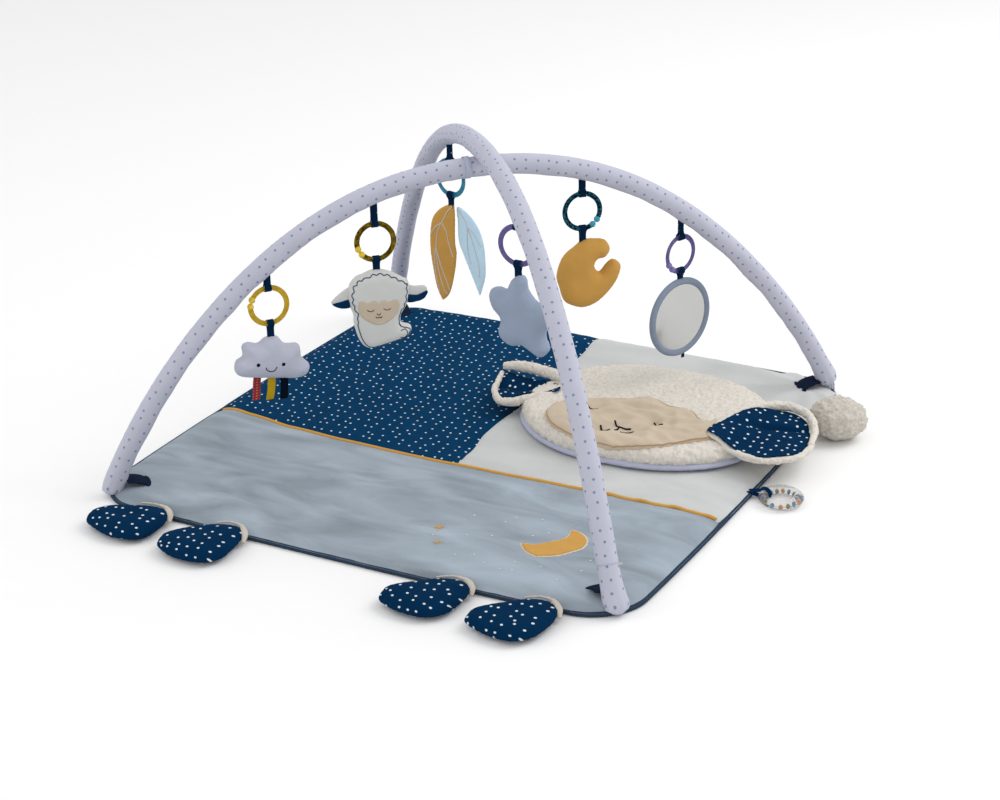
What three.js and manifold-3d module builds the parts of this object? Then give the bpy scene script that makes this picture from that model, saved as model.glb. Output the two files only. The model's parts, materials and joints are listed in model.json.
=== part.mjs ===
// Baby activity play gym: a padded square mat with two crossed sleeved arches that stand on its corners,
// six hanging toys on plastic link rings, a lamb's-head cushion with two ears, four hooves and a pom-pom
// tail along the mat's edges, and a clear rattle ring on a cord loop.
// Millimetres, +Z up, origin on the floor under the mat's centre. +X runs along the front edge that
// carries the hooves, and +Y runs to the back.

import * as THREE from "three";
import Module from "manifold-3d";
import { mergeVertices } from "three/addons/utils/BufferGeometryUtils.js";

const wasm = await Module();
wasm.setup();

// ---------- driving dimensions ----------

const GAP = 0.3; // between pieces that touch

// mat
const MAT_HALF = 450;
const MAT_CORNER = 78;
const BINDING_WIDTH = 12;
const BINDING_TOP = 10;
const BACKING_TOP = 4;
const PANEL_INSET = 22; // from the mat's edge to the velour panels
const PANEL_TOP = 18;
const PANEL_BEVEL = 4;
const SEAM_Y = -125; // the piping between the front panel and the two back ones
const PIPING_RADIUS = 2.9;
const PIPING_PROUD = 1; // above the panels
const APPLIQUE_THICKNESS = 1;

// arches
const FOOT_REACH = 600; // from the mat's centre to a foot's axis
const FOOT_Z = BINDING_TOP + 1.4;
const ARCH_AC_RISE = 450.4;
const SLEEVE_RADIUS = 15;
const SLEEVE_BORE = 5.6;
const ROD_RADIUS = 4.8;
const SLEEVE_SIDES = 8;
const ROD_SIDES = 4;
const CROSSING_STEP = 2 * SLEEVE_RADIUS + 0.6; // between the two axes where the arches cross
const ARCH_BD_RISE = ARCH_AC_RISE + CROSSING_STEP;
const ARCH_FLATNESS = 2.18; // how square the arch's shoulders are
const ARCH_ROUNDING = 0.87; // how the legs turn down into the feet
const ARCH_STEPS = 28;
const TIE_OFFSET = 22; // from the crossing to the tie's middle
const TIE_WIDTH = 9;
const TIE_THICKNESS = 1.5;
const TIE_PLAY = 1;

// corner straps
const STRAP_SLIT_REACH = 554.6;
const STRAP_SLIT_WIDTH = 38;
const STRAP_SLIT_GAP = 3.4;
const STRAP_WIDTH = 34;
const STRAP_THICKNESS = 1.8;
const STRAP_REACH = 576;
const STRAP_TOP = 25;

// link rings and their strap loops
const LINK_RADIUS = 28.75; // to the middle of the wire
const LINK_WIRE = 4.2;
const LINK_TIP = 5.1;
const LINK_SIDES = 8;
const LINK_STEPS = 17;
const LINK_GAP_ANGLE = 21; // degrees between the middles of the two ball tips
const LOOP_INNER = 5.3;
const LOOP_OUTER = 6.6;
const LOOP_WIDTH = 10.5;
const LOOP_NECK = 2.6;
const LOOP_OVERLAP = 0.5; // how far the neck starts inside the wrap

// head cushion
const HEAD_CENTRE = new THREE.Vector2(219, 130);
const HEAD_SEMI = new THREE.Vector2(204, 180);
const HEAD_BACK_TOP = 28;
const HEAD_TOP = 50;
const HEAD_SEGMENTS = 20;
const HEAD_BEVEL = 10;
const HEAD_BACK_INSET = 6; // from the fleece's edge to the lavender back's
const FACE_CENTRE = new THREE.Vector2(224, 38);
const FACE_SEMI = new THREE.Vector2(136, 90);
const FACE_THICKNESS = 6;
const FACE_BEVEL = 2;
const EAR_THICKNESS = 12;
const EAR_SEGMENTS = 14;
const LINING_THICKNESS = 2;
const RIGHT_EAR_BEVEL = 3;
const LEFT_EAR_BEVEL = 5;
const LEFT_LINING_INSET = 9;

// hooves, tail and rattle
const HOOF_THICKNESS = 26;
const HOOF_BEVEL = 7;
const HOOF_EDGE_Y = -(MAT_HALF + 2.8);
const TAIL_CENTRE = new THREE.Vector3(499, 257, 33);
const TAIL_SEMI = new THREE.Vector3(48, 45, 33);
const RATTLE_RADIUS = 26.3; // to the middle of the tube
const RATTLE_TUBE = 7.3;
const RATTLE_CENTRE = new THREE.Vector3(505, -5, 9.2);
const RATTLE_LOOP_INNER = 8.1;
const RATTLE_LOOP_OUTER = 9.2;
const RATTLE_LOOP_WIDTH = 9;
const RATTLE_NECK = 2.4;
const RATTLE_NECK_Z = -2; // below the ring's middle

// ---------- colours ----------

const material = (color, roughness = 0.9) => new THREE.MeshStandardMaterial({ color, roughness });

const GREY_VELOUR = 0x91a0aa;
const NAVY_COTTON = 0x03325c;
const WHITE_VELOUR = 0xcdd2d0;
const SLATE_BINDING = 0x374b5f;
const MUSTARD = 0xc89650;
const WADDING = 0xe8e8e4;
const LAVENDER_COTTON = 0xbebece;
const NAVY_WEBBING = 0x14233c;
const SHERPA = 0xd9cfc3;
const FACE_BEIGE = 0xd2be9f;
const GLASS_FIBRE = 0xe5e5e0;
const YELLOW_PLASTIC = 0xbea014;
const TEAL_PLASTIC = 0x23829b;
const PURPLE_PLASTIC = 0x6455a0;
const CLOUD_FABRIC = 0xafb2c3;
const SHEEP_FABRIC = 0xe9e6dc;
const STAR_FABRIC = 0x8594aa;
const BLUE_LEAF = 0xaac8dc;
const RIM_FABRIC = 0x8291a5;
const MIRROR_FILM = 0xc6c9c9;
const RIBBON_RED = 0x96323c;
const RIBBON_YELLOW = 0xbea01e;
const RIBBON_NAVY = 0x0f1a2c;
const CLEAR_PLASTIC = 0xdcdcd8;

// ---------- helpers ----------

const gym = new THREE.Group();

function add(parent, name, geometry, meshMaterial) {
  const mesh = new THREE.Mesh(geometry, meshMaterial);
  mesh.name = name;
  parent.add(mesh);
  return mesh;
}

function welded(geometry) {
  const copy = geometry.clone();
  copy.deleteAttribute("normal");
  copy.deleteAttribute("uv");
  return mergeVertices(copy, 1e-4);
}

function toSolid(geometry) {
  const closed = welded(geometry);
  return new wasm.Manifold(
    new wasm.Mesh({
      numProp: 3,
      vertProperties: new Float32Array(closed.attributes.position.array),
      triVerts: new Uint32Array(closed.index.array),
    }),
  );
}

function toGeometry(solid) {
  const mesh = solid.getMesh();
  const geometry = new THREE.BufferGeometry();
  geometry.setAttribute("position", new THREE.BufferAttribute(mesh.vertProperties, 3));
  geometry.setIndex(new THREE.BufferAttribute(mesh.triVerts, 1));
  geometry.computeVertexNormals();
  return geometry;
}

const union = (...geometries) => toGeometry(geometries.map(toSolid).reduce((a, b) => a.add(b)));
const cut = (geometry, ...tools) => toGeometry(tools.map(toSolid).reduce((a, b) => a.subtract(b), toSolid(geometry)));

// A flat shape drawn in X and Y, from z = bottom to z = top, with its edges rounded over by bevel.
function slab(shape, bottom, top, bevel = 0, curveSegments = 6) {
  const geometry = new THREE.ExtrudeGeometry(shape, {
    depth: top - bottom - 2 * bevel,
    bevelEnabled: bevel > 0,
    bevelThickness: bevel,
    bevelSize: bevel,
    bevelOffset: -bevel,
    bevelSegments: 1,
    curveSegments,
  });
  return geometry.translate(0, 0, bottom + bevel);
}

// The same slab stood up, facing -Y: the shape's Y becomes Z.
function standing(shape, thickness, bevel, curveSegments = 6) {
  return slab(shape, -thickness / 2, thickness / 2, bevel, curveSegments).rotateX(Math.PI / 2);
}

function roundedRectangle(left, right, front, back, corners) {
  const [frontLeft, frontRight, backRight, backLeft] = corners;
  const shape = new THREE.Shape();
  shape.moveTo(left + frontLeft, front);
  shape.lineTo(right - frontRight, front);
  if (frontRight) shape.absarc(right - frontRight, front + frontRight, frontRight, -Math.PI / 2, 0);
  shape.lineTo(right, back - backRight);
  if (backRight) shape.absarc(right - backRight, back - backRight, backRight, 0, Math.PI / 2);
  shape.lineTo(left + backLeft, back);
  if (backLeft) shape.absarc(left + backLeft, back - backLeft, backLeft, Math.PI / 2, Math.PI);
  shape.lineTo(left, front + frontLeft);
  if (frontLeft) shape.absarc(left + frontLeft, front + frontLeft, frontLeft, Math.PI, 1.5 * Math.PI);
  return shape;
}

function roundedSquare(inset) {
  const half = MAT_HALF - inset;
  const corner = MAT_CORNER - inset;
  return roundedRectangle(-half, half, -half, half, [corner, corner, corner, corner]);
}

// A closed smooth outline through a few points, as [x, y] pairs.
function smoothOutline(points, divisions = 40) {
  const curve = new THREE.CatmullRomCurve3(
    points.map(([x, y]) => new THREE.Vector3(x, y, 0)),
    true,
  );
  const outline = curve.getSpacedPoints(divisions).slice(0, -1);
  return new THREE.Shape(outline.map((point) => new THREE.Vector2(point.x, point.y)));
}

function ellipse(centre, semi) {
  const shape = new THREE.Shape();
  shape.absellipse(centre.x, centre.y, semi.x, semi.y, 0, 2 * Math.PI);
  return shape;
}

function circle(radius, hole = 0) {
  const shape = new THREE.Shape();
  shape.absarc(0, 0, radius, 0, 2 * Math.PI);
  if (hole) {
    const bore = new THREE.Path();
    bore.absarc(0, 0, hole, 0, 2 * Math.PI, true);
    shape.holes.push(bore);
  }
  return shape;
}

function box(centre, size) {
  return new THREE.BoxGeometry(size.x, size.y, size.z).translate(centre.x, centre.y, centre.z);
}

// ---------- mat ----------

const CORNERS = { a: 225, b: 315, c: 45, d: 135 }; // degrees from +X, seen from above

const cornerAngle = (corner) => THREE.MathUtils.degToRad(CORNERS[corner]);

// The slit that a corner strap comes up through, as a long box across the mat's diagonal.
function slitTool(corner) {
  return box(
    new THREE.Vector3(STRAP_SLIT_REACH, 0, PANEL_TOP),
    new THREE.Vector3(STRAP_SLIT_GAP, STRAP_SLIT_WIDTH, 2 * PANEL_TOP),
  )
    .translate(0, 0, BACKING_TOP + GAP)
    .rotateZ(cornerAngle(corner));
}

const mat = new THREE.Group();
gym.add(mat);

add(mat, "mat_backing", slab(roundedSquare(BINDING_WIDTH + 2 * GAP), 0, BACKING_TOP), material(SLATE_BINDING));

const binding = roundedSquare(0);
binding.holes.push(roundedSquare(BINDING_WIDTH));
add(mat, "mat_edge_binding", slab(binding, 0, BINDING_TOP), material(SLATE_BINDING));

const waddingTop = BINDING_TOP - GAP;
const wadding = slab(roundedSquare(BINDING_WIDTH + 2 * GAP), BACKING_TOP + GAP, waddingTop);
add(mat, "mat_wadding", cut(wadding, ...Object.keys(CORNERS).map(slitTool)), material(WADDING));

const panelHalf = MAT_HALF - PANEL_INSET;
const panelCorner = MAT_CORNER - PANEL_INSET;
const panelGap = PIPING_RADIUS + GAP;
const panels = {
  mat_top_grey_velour: {
    edges: [-panelHalf, panelHalf, -panelHalf, SEAM_Y - panelGap],
    corners: [panelCorner, panelCorner, 0, 0],
    slits: ["a", "b"],
    color: GREY_VELOUR,
  },
  mat_top_navy_dotted: {
    edges: [-panelHalf, -GAP, SEAM_Y + panelGap, panelHalf],
    corners: [0, 0, 0, panelCorner],
    slits: ["d"],
    color: NAVY_COTTON,
  },
  mat_top_white_velour: {
    edges: [GAP, panelHalf, SEAM_Y + panelGap, panelHalf],
    corners: [0, 0, panelCorner, 0],
    slits: ["c"],
    color: WHITE_VELOUR,
  },
};
for (const [name, panel] of Object.entries(panels)) {
  const shape = roundedRectangle(...panel.edges, panel.corners);
  const top = slab(shape, BINDING_TOP, PANEL_TOP, PANEL_BEVEL);
  add(mat, name, cut(top, ...panel.slits.map(slitTool)), material(panel.color));
}

const pipingLength = 2 * (panelHalf - PANEL_BEVEL);
const piping = new THREE.CylinderGeometry(PIPING_RADIUS, PIPING_RADIUS, pipingLength, 8)
  .rotateZ(Math.PI / 2)
  .translate(0, SEAM_Y, PANEL_TOP - PIPING_RADIUS + PIPING_PROUD);
add(mat, "seam_piping", piping, material(MUSTARD));

const moonPatch = smoothOutline([
  [229, -320], [266, -348], [296, -331], [317, -295], [294, -257], [279, -256], [282, -274], [262, -304],
], 28);
add(mat, "moon_applique", slab(moonPatch, PANEL_TOP + GAP, PANEL_TOP + GAP + APPLIQUE_THICKNESS), material(MUSTARD));

// A corner strap rises out of its slit and leans out to the arch's foot.
function cornerStrap() {
  const half = STRAP_THICKNESS / 2;
  const profile = new THREE.Shape([
    new THREE.Vector2(STRAP_SLIT_REACH - half, BACKING_TOP + 2 * GAP),
    new THREE.Vector2(STRAP_SLIT_REACH + half, BACKING_TOP + 2 * GAP),
    new THREE.Vector2(STRAP_SLIT_REACH + half, PANEL_TOP + half),
    new THREE.Vector2(STRAP_REACH, STRAP_TOP - half),
    new THREE.Vector2(STRAP_REACH, STRAP_TOP + half),
    new THREE.Vector2(STRAP_SLIT_REACH - half, PANEL_TOP + 2 * half),
  ]);
  return slab(profile, -STRAP_WIDTH / 2, STRAP_WIDTH / 2).rotateX(Math.PI / 2);
}
for (const corner of Object.keys(CORNERS)) {
  const strap = add(mat, `corner_strap_${corner}`, cornerStrap(), material(NAVY_WEBBING));
  strap.rotation.z = cornerAngle(corner);
}

// ---------- arches ----------

class ArchCurve extends THREE.Curve {
  constructor(angle, rise) {
    super();
    this.direction = new THREE.Vector3(Math.cos(angle), Math.sin(angle), 0);
    this.rise = rise;
  }

  heightAt(reach) {
    const share = Math.min(Math.abs(reach) / FOOT_REACH, 1);
    return FOOT_Z + this.rise * (1 - share ** ARCH_FLATNESS) ** ARCH_ROUNDING;
  }

  getPoint(t, target = new THREE.Vector3()) {
    const reach = FOOT_REACH * Math.sin(Math.PI * (t - 0.5));
    return target.copy(this.direction).multiplyScalar(reach).setZ(this.heightAt(reach));
  }
}

const archAC = new ArchCurve(cornerAngle("c"), ARCH_AC_RISE);
const archBD = new ArchCurve(cornerAngle("d"), ARCH_BD_RISE);

function alongArch(arch, section, sides) {
  return new THREE.ExtrudeGeometry(section, { extrudePath: arch, steps: ARCH_STEPS, curveSegments: sides / 2 });
}

for (const [name, arch] of Object.entries({ ac: archAC, bd: archBD })) {
  add(gym, `arch_${name}_sleeve`, alongArch(arch, circle(SLEEVE_RADIUS, SLEEVE_BORE), SLEEVE_SIDES), material(LAVENDER_COTTON));
  add(gym, `arch_${name}_rod`, alongArch(arch, circle(ROD_RADIUS), ROD_SIDES), material(GLASS_FIBRE, 0.5));
}

const tie = slab(circle(SLEEVE_RADIUS + TIE_PLAY + TIE_THICKNESS, SLEEVE_RADIUS + TIE_PLAY), -TIE_WIDTH / 2, TIE_WIDTH / 2, 0, 10);
const tieMesh = add(gym, "crossing_tie", tie.rotateY(Math.PI / 2), material(LAVENDER_COTTON));
tieMesh.position.copy(archAC.direction).multiplyScalar(-TIE_OFFSET).setZ(archAC.heightAt(TIE_OFFSET));
tieMesh.rotation.z = cornerAngle("c");

// ---------- hanging toys ----------

// A toy's group has its origin at its ring's centre, with the ring in its X-Z plane and its face to -Y.
const TOYS = {
  cloud: { arch: archAC, reach: -339, ringZ: 278.5, facing: -38, gapAt: 164, color: YELLOW_PLASTIC },
  sheep: { arch: archAC, reach: -169, ringZ: 360.5, facing: -45, gapAt: 210, color: YELLOW_PLASTIC },
  moon: { arch: archAC, reach: 164, ringZ: 370, facing: -45, gapAt: 316, color: TEAL_PLASTIC },
  mirror: { arch: archAC, reach: 329, ringZ: 279, facing: -22, gapAt: 220, color: PURPLE_PLASTIC },
  leaves: { arch: archBD, reach: 176, ringZ: 390.5, facing: -104, gapAt: 150, color: TEAL_PLASTIC },
  star: { arch: archBD, reach: -190, ringZ: 396, facing: -91, gapAt: 30, color: PURPLE_PLASTIC },
};

class RingCurve extends THREE.Curve {
  constructor(start, sweep) {
    super();
    this.start = THREE.MathUtils.degToRad(start);
    this.sweep = THREE.MathUtils.degToRad(sweep);
  }

  getPoint(t, target = new THREE.Vector3()) {
    const angle = this.start + this.sweep * t;
    return target.set(LINK_RADIUS * Math.cos(angle), 0, LINK_RADIUS * Math.sin(angle));
  }
}

// An open link: a round wire bent to a ring, with a ball on each tip.
function linkRing(gapAt) {
  const wire = new RingCurve(gapAt + LINK_GAP_ANGLE / 2, 360 - LINK_GAP_ANGLE);
  const bar = new THREE.ExtrudeGeometry(circle(LINK_WIRE), { extrudePath: wire, steps: LINK_STEPS, curveSegments: LINK_SIDES / 2 });
  const tips = [0, 1].map((end) => {
    const ball = new THREE.SphereGeometry(LINK_TIP, LINK_SIDES, 5);
    const place = wire.getPoint(end);
    return ball.translate(place.x, place.y, place.z);
  });
  return union(bar, ...tips);
}

// Folded webbing that wraps the wire at wireZ and runs to endZ, above or below it.
function strapLoop(wireZ, endZ) {
  const wrap = slab(circle(LOOP_OUTER, LOOP_INNER), -LOOP_WIDTH / 2, LOOP_WIDTH / 2, 0, 6)
    .rotateY(Math.PI / 2)
    .translate(0, 0, wireZ);
  const side = Math.sign(endZ - wireZ);
  const start = wireZ + side * (LOOP_INNER + LOOP_OVERLAP);
  const neck = box(
    new THREE.Vector3(0, 0, (start + endZ) / 2),
    new THREE.Vector3(LOOP_WIDTH, LOOP_NECK, Math.abs(endZ - start)),
  );
  return union(wrap, neck);
}

function solidTube(arch) {
  return alongArch(arch, circle(SLEEVE_RADIUS + 1.5 * GAP), SLEEVE_SIDES);
}

const toyGroups = {};
for (const [name, toy] of Object.entries(TOYS)) {
  const group = new THREE.Group();
  const place = toy.arch.direction.clone().multiplyScalar(toy.reach).setZ(toy.ringZ);
  const turn = THREE.MathUtils.degToRad(toy.facing + 90);
  group.position.copy(place);
  group.rotation.z = turn;
  gym.add(group);
  toyGroups[name] = group;

  const sleeveZ = toy.arch.heightAt(toy.reach) - toy.ringZ;
  const tube = solidTube(toy.arch).translate(-place.x, -place.y, -place.z).rotateZ(-turn);
  const upper = cut(strapLoop(LINK_RADIUS, sleeveZ), tube);
  add(group, `${name}_upper_strap`, upper, material(NAVY_WEBBING));
  add(group, `${name}_ring`, linkRing(toy.gapAt), material(toy.color, 0.35));
}

// The lower strap ends just above the toy's top.
function lowerStrap(name, toyTop) {
  add(toyGroups[name], `${name}_lower_strap`, strapLoop(-LINK_RADIUS, toyTop + GAP), material(NAVY_WEBBING));
}

// cloud, a stuffed shape of joined round puffs with a flat bottom, and three ribbons under it
const CLOUD_TOP = -50;
const CLOUD_BOTTOM = -119;
const CLOUD_FLATTEN = 0.62;
const CLOUD_CUTTER = new THREE.Vector3(140, 60, 40); // the block that leaves a flat bottom
const cloudPuffs = [
  [-38, -97, 20], [-29, -78, 18], [3, -75, 25], [27, -83, 21], [37, -100, 20], [0, -96, 28],
];
lowerStrap("cloud", CLOUD_TOP);
const puffs = cloudPuffs.map(([x, z, radius]) =>
  new THREE.SphereGeometry(radius, 9, 6).rotateX(Math.PI / 2).scale(1, CLOUD_FLATTEN, 1).translate(x, 0, z),
);
const underCloud = box(new THREE.Vector3(0, 0, CLOUD_BOTTOM - CLOUD_CUTTER.z / 2), CLOUD_CUTTER);
add(toyGroups.cloud, "cloud_cushion", cut(union(...puffs), underCloud), material(CLOUD_FABRIC));

const RIBBON_WIDTH = 12;
const RIBBON_LENGTH = 34;
const RIBBON_THICKNESS = 1.6;
const ribbons = { red: [-22, RIBBON_RED], yellow: [-3, RIBBON_YELLOW], navy: [16, RIBBON_NAVY] };
for (const [name, [x, color]] of Object.entries(ribbons)) {
  const centre = new THREE.Vector3(x, 0, CLOUD_BOTTOM - GAP - RIBBON_LENGTH / 2);
  const ribbon = box(centre, new THREE.Vector3(RIBBON_WIDTH, RIBBON_THICKNESS, RIBBON_LENGTH));
  add(toyGroups.cloud, `cloud_ribbon_${name}`, ribbon, material(color));
}

// sheep, a flat pillow cut to a seated lamb
const SHEEP_TOP = -45;
const SHEEP_THICKNESS = 26;
const PILLOW_BEVEL = 9; // on the sheep and the star
lowerStrap("sheep", SHEEP_TOP);
const sheepOutline = smoothOutline([
  [3, -45], [-20, -50], [-43, -66], [-47, -88], [-40, -112], [-37, -140], [-27, -165], [-10, -173],
  [24, -165], [43, -157], [50, -146], [47, -137], [36, -131], [36, -118], [46, -102], [50, -80],
  [43, -60], [22, -49],
], 44);
add(toyGroups.sheep, "sheep_cushion", standing(sheepOutline, SHEEP_THICKNESS, PILLOW_BEVEL), material(SHEEP_FABRIC));

// two leaves, one in front of the other, fanned from the same strap
const LEAVES_TOP = -47;
const LEAF_THICKNESS = 3.6;
const LEAF_BEVEL = 1.2;
const LEAF_NECK_WIDTH = 5;
const LEAF_DROP = 3; // below the strap, so that a tilted leaf clears it
lowerStrap("leaves", LEAVES_TOP);

// A pointed leaf hangs from the top and swings sideways by lean degrees.
function leaf(length, halfWidth, lean, layer) {
  const shape = new THREE.Shape();
  shape.moveTo(-LEAF_NECK_WIDTH, 0);
  shape.bezierCurveTo(-halfWidth * 1.35, -length * 0.2, -halfWidth * 1.15, -length * 0.72, 0, -length);
  shape.bezierCurveTo(halfWidth * 1.15, -length * 0.72, halfWidth * 1.35, -length * 0.2, LEAF_NECK_WIDTH, 0);
  shape.closePath();
  return slab(shape, 0, LEAF_THICKNESS, LEAF_BEVEL, 10)
    .rotateZ(THREE.MathUtils.degToRad(lean))
    .rotateX(Math.PI / 2)
    .translate(0, layer, LEAVES_TOP - LEAF_DROP);
}
add(toyGroups.leaves, "leaf_mustard", leaf(172, 29, -8, -GAP / 2), material(MUSTARD));
add(toyGroups.leaves, "leaf_blue", leaf(152, 27, 19, LEAF_THICKNESS + GAP / 2), material(BLUE_LEAF));

// star, a puffy pillow with five round points
const STAR_TOP = -45;
const STAR_TIP = 62;
const STAR_WAIST = 41;
const STAR_THICKNESS = 34;
lowerStrap("star", STAR_TOP);
const starPoints = Array.from({ length: 10 }, (_, index) => {
  const radius = index % 2 ? STAR_WAIST : STAR_TIP;
  const angle = Math.PI / 2 + (index * Math.PI) / 5;
  return [radius * Math.cos(angle), STAR_TOP - STAR_TIP + radius * Math.sin(angle)];
});
add(toyGroups.star, "star_cushion", standing(smoothOutline(starPoints, 45), STAR_THICKNESS, PILLOW_BEVEL), material(STAR_FABRIC));

// moon, a fat crescent whose small opening faces up and to one side
const MOON_TOP = -48;
const MOON_THICKNESS = 30;
const MOON_BEVEL = 7;
lowerStrap("moon", MOON_TOP);
const moonOutline = smoothOutline([
  [4, -48], [-26, -67], [-43, -104], [-33, -142], [-2, -160], [30, -146], [58, -108], [59, -92], [48, -84],
  [36, -93], [25, -102], [18, -91], [24, -81], [38, -77], [42, -64], [30, -50],
], 46);
add(toyGroups.moon, "moon_cushion", standing(moonOutline, MOON_THICKNESS, MOON_BEVEL), material(MUSTARD));

// mirror, a film disc held in a fabric rim
const MIRROR_TOP = -43;
const MIRROR_RADIUS = 65;
const MIRROR_FACE_RADIUS = 57;
const MIRROR_THICKNESS = 9;
const MIRROR_DISC = 4;
const MIRROR_BACKING = 2;
const MIRROR_BACKING_INSET = 4;
const MIRROR_SEGMENTS = 18;
lowerStrap("mirror", MIRROR_TOP);
const rim = standing(circle(MIRROR_RADIUS, MIRROR_FACE_RADIUS), MIRROR_THICKNESS, 0, MIRROR_SEGMENTS);
const backing = standing(circle(MIRROR_RADIUS - MIRROR_BACKING_INSET), MIRROR_BACKING, 0, MIRROR_SEGMENTS)
  .translate(0, (MIRROR_THICKNESS - MIRROR_BACKING) / 2, 0);
const disc = standing(circle(MIRROR_FACE_RADIUS - GAP), MIRROR_DISC, 0, MIRROR_SEGMENTS);
const mirrorZ = MIRROR_TOP - MIRROR_RADIUS;
add(toyGroups.mirror, "mirror_rim", union(rim, backing).translate(0, 0, mirrorZ), material(RIM_FABRIC));
add(toyGroups.mirror, "mirror_disc", disc.translate(0, 0, mirrorZ), material(MIRROR_FILM, 0.08));

// ---------- head cushion ----------

const head = new THREE.Group();
gym.add(head);

const headBottom = PANEL_TOP + GAP;
const headBackSemi = HEAD_SEMI.clone().subScalar(HEAD_BACK_INSET);
const fleece = slab(ellipse(HEAD_CENTRE, HEAD_SEMI), HEAD_BACK_TOP + GAP, HEAD_TOP, HEAD_BEVEL, HEAD_SEGMENTS);
add(head, "head_back", slab(ellipse(HEAD_CENTRE, headBackSemi), headBottom, HEAD_BACK_TOP, 0, HEAD_SEGMENTS), material(LAVENDER_COTTON));
add(head, "head_fleece", fleece, material(SHERPA));

const faceTop = HEAD_TOP + FACE_THICKNESS;
const face = slab(ellipse(FACE_CENTRE, FACE_SEMI), HEAD_TOP + GAP, faceTop, FACE_BEVEL, HEAD_SEGMENTS);
add(head, "head_face", face, material(FACE_BEIGE));

const rightEar = smoothOutline([
  [368, 76], [372, 150], [396, 214], [438, 226], [478, 180], [496, 112], [474, 46], [420, 50],
], 32);
const rightLining = smoothOutline([
  [374, 82], [384, 150], [404, 202], [434, 212], [468, 172], [483, 112], [466, 58], [422, 62],
], 28);
const rightEarTop = HEAD_TOP + GAP + EAR_THICKNESS;
add(head, "ear_right", slab(rightEar, HEAD_TOP + GAP, rightEarTop, RIGHT_EAR_BEVEL), material(SHERPA));
add(head, "ear_right_lining", slab(rightLining, rightEarTop + GAP, rightEarTop + GAP + LINING_THICKNESS), material(NAVY_COTTON));

const LEFT_EAR_CENTRE = new THREE.Vector2(-4, 112);
const LEFT_EAR_SEMI = new THREE.Vector2(62, 72);
const LEFT_EAR_BOTTOM = PANEL_TOP + 3;
const LEFT_EAR_TOP = 56;
const headClear = slab(ellipse(HEAD_CENTRE, HEAD_SEMI.clone().addScalar(2 * GAP)), 0, 2 * LEFT_EAR_TOP, 0, HEAD_SEGMENTS);
const leftEar = slab(ellipse(LEFT_EAR_CENTRE, LEFT_EAR_SEMI), LEFT_EAR_BOTTOM, LEFT_EAR_TOP, LEFT_EAR_BEVEL, EAR_SEGMENTS);
const liningSemi = LEFT_EAR_SEMI.clone().subScalar(LEFT_LINING_INSET);
const liningBottom = LEFT_EAR_TOP + GAP;
const leftLining = slab(ellipse(LEFT_EAR_CENTRE, liningSemi), liningBottom, liningBottom + LINING_THICKNESS, 0, EAR_SEGMENTS);
add(head, "ear_left", cut(leftEar, headClear), material(SHERPA));
add(head, "ear_left_lining", cut(leftLining, headClear), material(NAVY_COTTON));

// ---------- hooves, tail and rattle ----------

// Toe to the left, heel to the right, sewn to the mat at the origin.
const hoofOutline = [
  [-10, 0], [-38, -28], [-62, -48], [-66, -68], [-56, -92], [-26, -104], [10, -108], [38, -104], [48, -82],
  [45, -44], [36, -17], [12, 0],
];
const hooves = {
  hoof_1: { x: -326, width: 1.04, length: 0.95 },
  hoof_2: { x: -191, width: 0.94, length: 1.06 },
  hoof_3: { x: 172, width: 0.78, length: 0.81 },
  hoof_4: { x: 291, width: 0.76, length: 0.84 },
};
for (const [name, hoof] of Object.entries(hooves)) {
  const outline = hoofOutline.map(([x, y]) => [x * hoof.width, y * hoof.length]);
  const pad = slab(smoothOutline(outline, 26), 0, HOOF_THICKNESS, HOOF_BEVEL);
  add(gym, name, pad, material(NAVY_COTTON)).position.set(hoof.x, HOOF_EDGE_Y, 0);
}

const pompom = new THREE.SphereGeometry(1, 14, 9)
  .rotateX(Math.PI / 2)
  .scale(TAIL_SEMI.x, TAIL_SEMI.y, TAIL_SEMI.z);
add(gym, "tail_pompom", pompom, material(SHERPA)).position.copy(TAIL_CENTRE);

const rattle = new THREE.Group();
rattle.position.copy(RATTLE_CENTRE);
gym.add(rattle);
add(rattle, "rattle_ring", welded(new THREE.TorusGeometry(RATTLE_RADIUS, RATTLE_TUBE, 8, 24)), material(CLEAR_PLASTIC, 0.1));

const loopX = -RATTLE_RADIUS;
const matEdgeX = MAT_HALF + GAP - RATTLE_CENTRE.x;
const wrap = slab(circle(RATTLE_LOOP_OUTER, RATTLE_LOOP_INNER), -RATTLE_LOOP_WIDTH / 2, RATTLE_LOOP_WIDTH / 2, 0, 7)
  .rotateX(Math.PI / 2)
  .translate(loopX, 0, 0);
const neckEnd = loopX - RATTLE_LOOP_INNER - LOOP_OVERLAP;
const neck = box(
  new THREE.Vector3((matEdgeX + neckEnd) / 2, 0, RATTLE_NECK_Z),
  new THREE.Vector3(neckEnd - matEdgeX, RATTLE_LOOP_WIDTH, RATTLE_NECK),
);
add(rattle, "rattle_loop", union(wrap, neck), material(NAVY_WEBBING));

export default gym;
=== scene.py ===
# %% [markdown]
# # A baby's activity play gym
# A padded square mat lies on the floor, and two sleeved arches cross over it and stand on its corners.
# Soft toys hang from the arches on plastic links. A lamb's-head cushion lies on the mat, four hooves and
# a pom-pom tail are sewn to its edges, and a clear rattle ring hangs off the right side.
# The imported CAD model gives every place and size. This script dresses it in cloth, pile and plastic.

# %% Load the frame
import json
import math

import bmesh
import bpy
from mathutils import Matrix, Vector, noise
from mathutils.bvhtree import BVHTree
from mathutils.kdtree import KDTree


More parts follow.
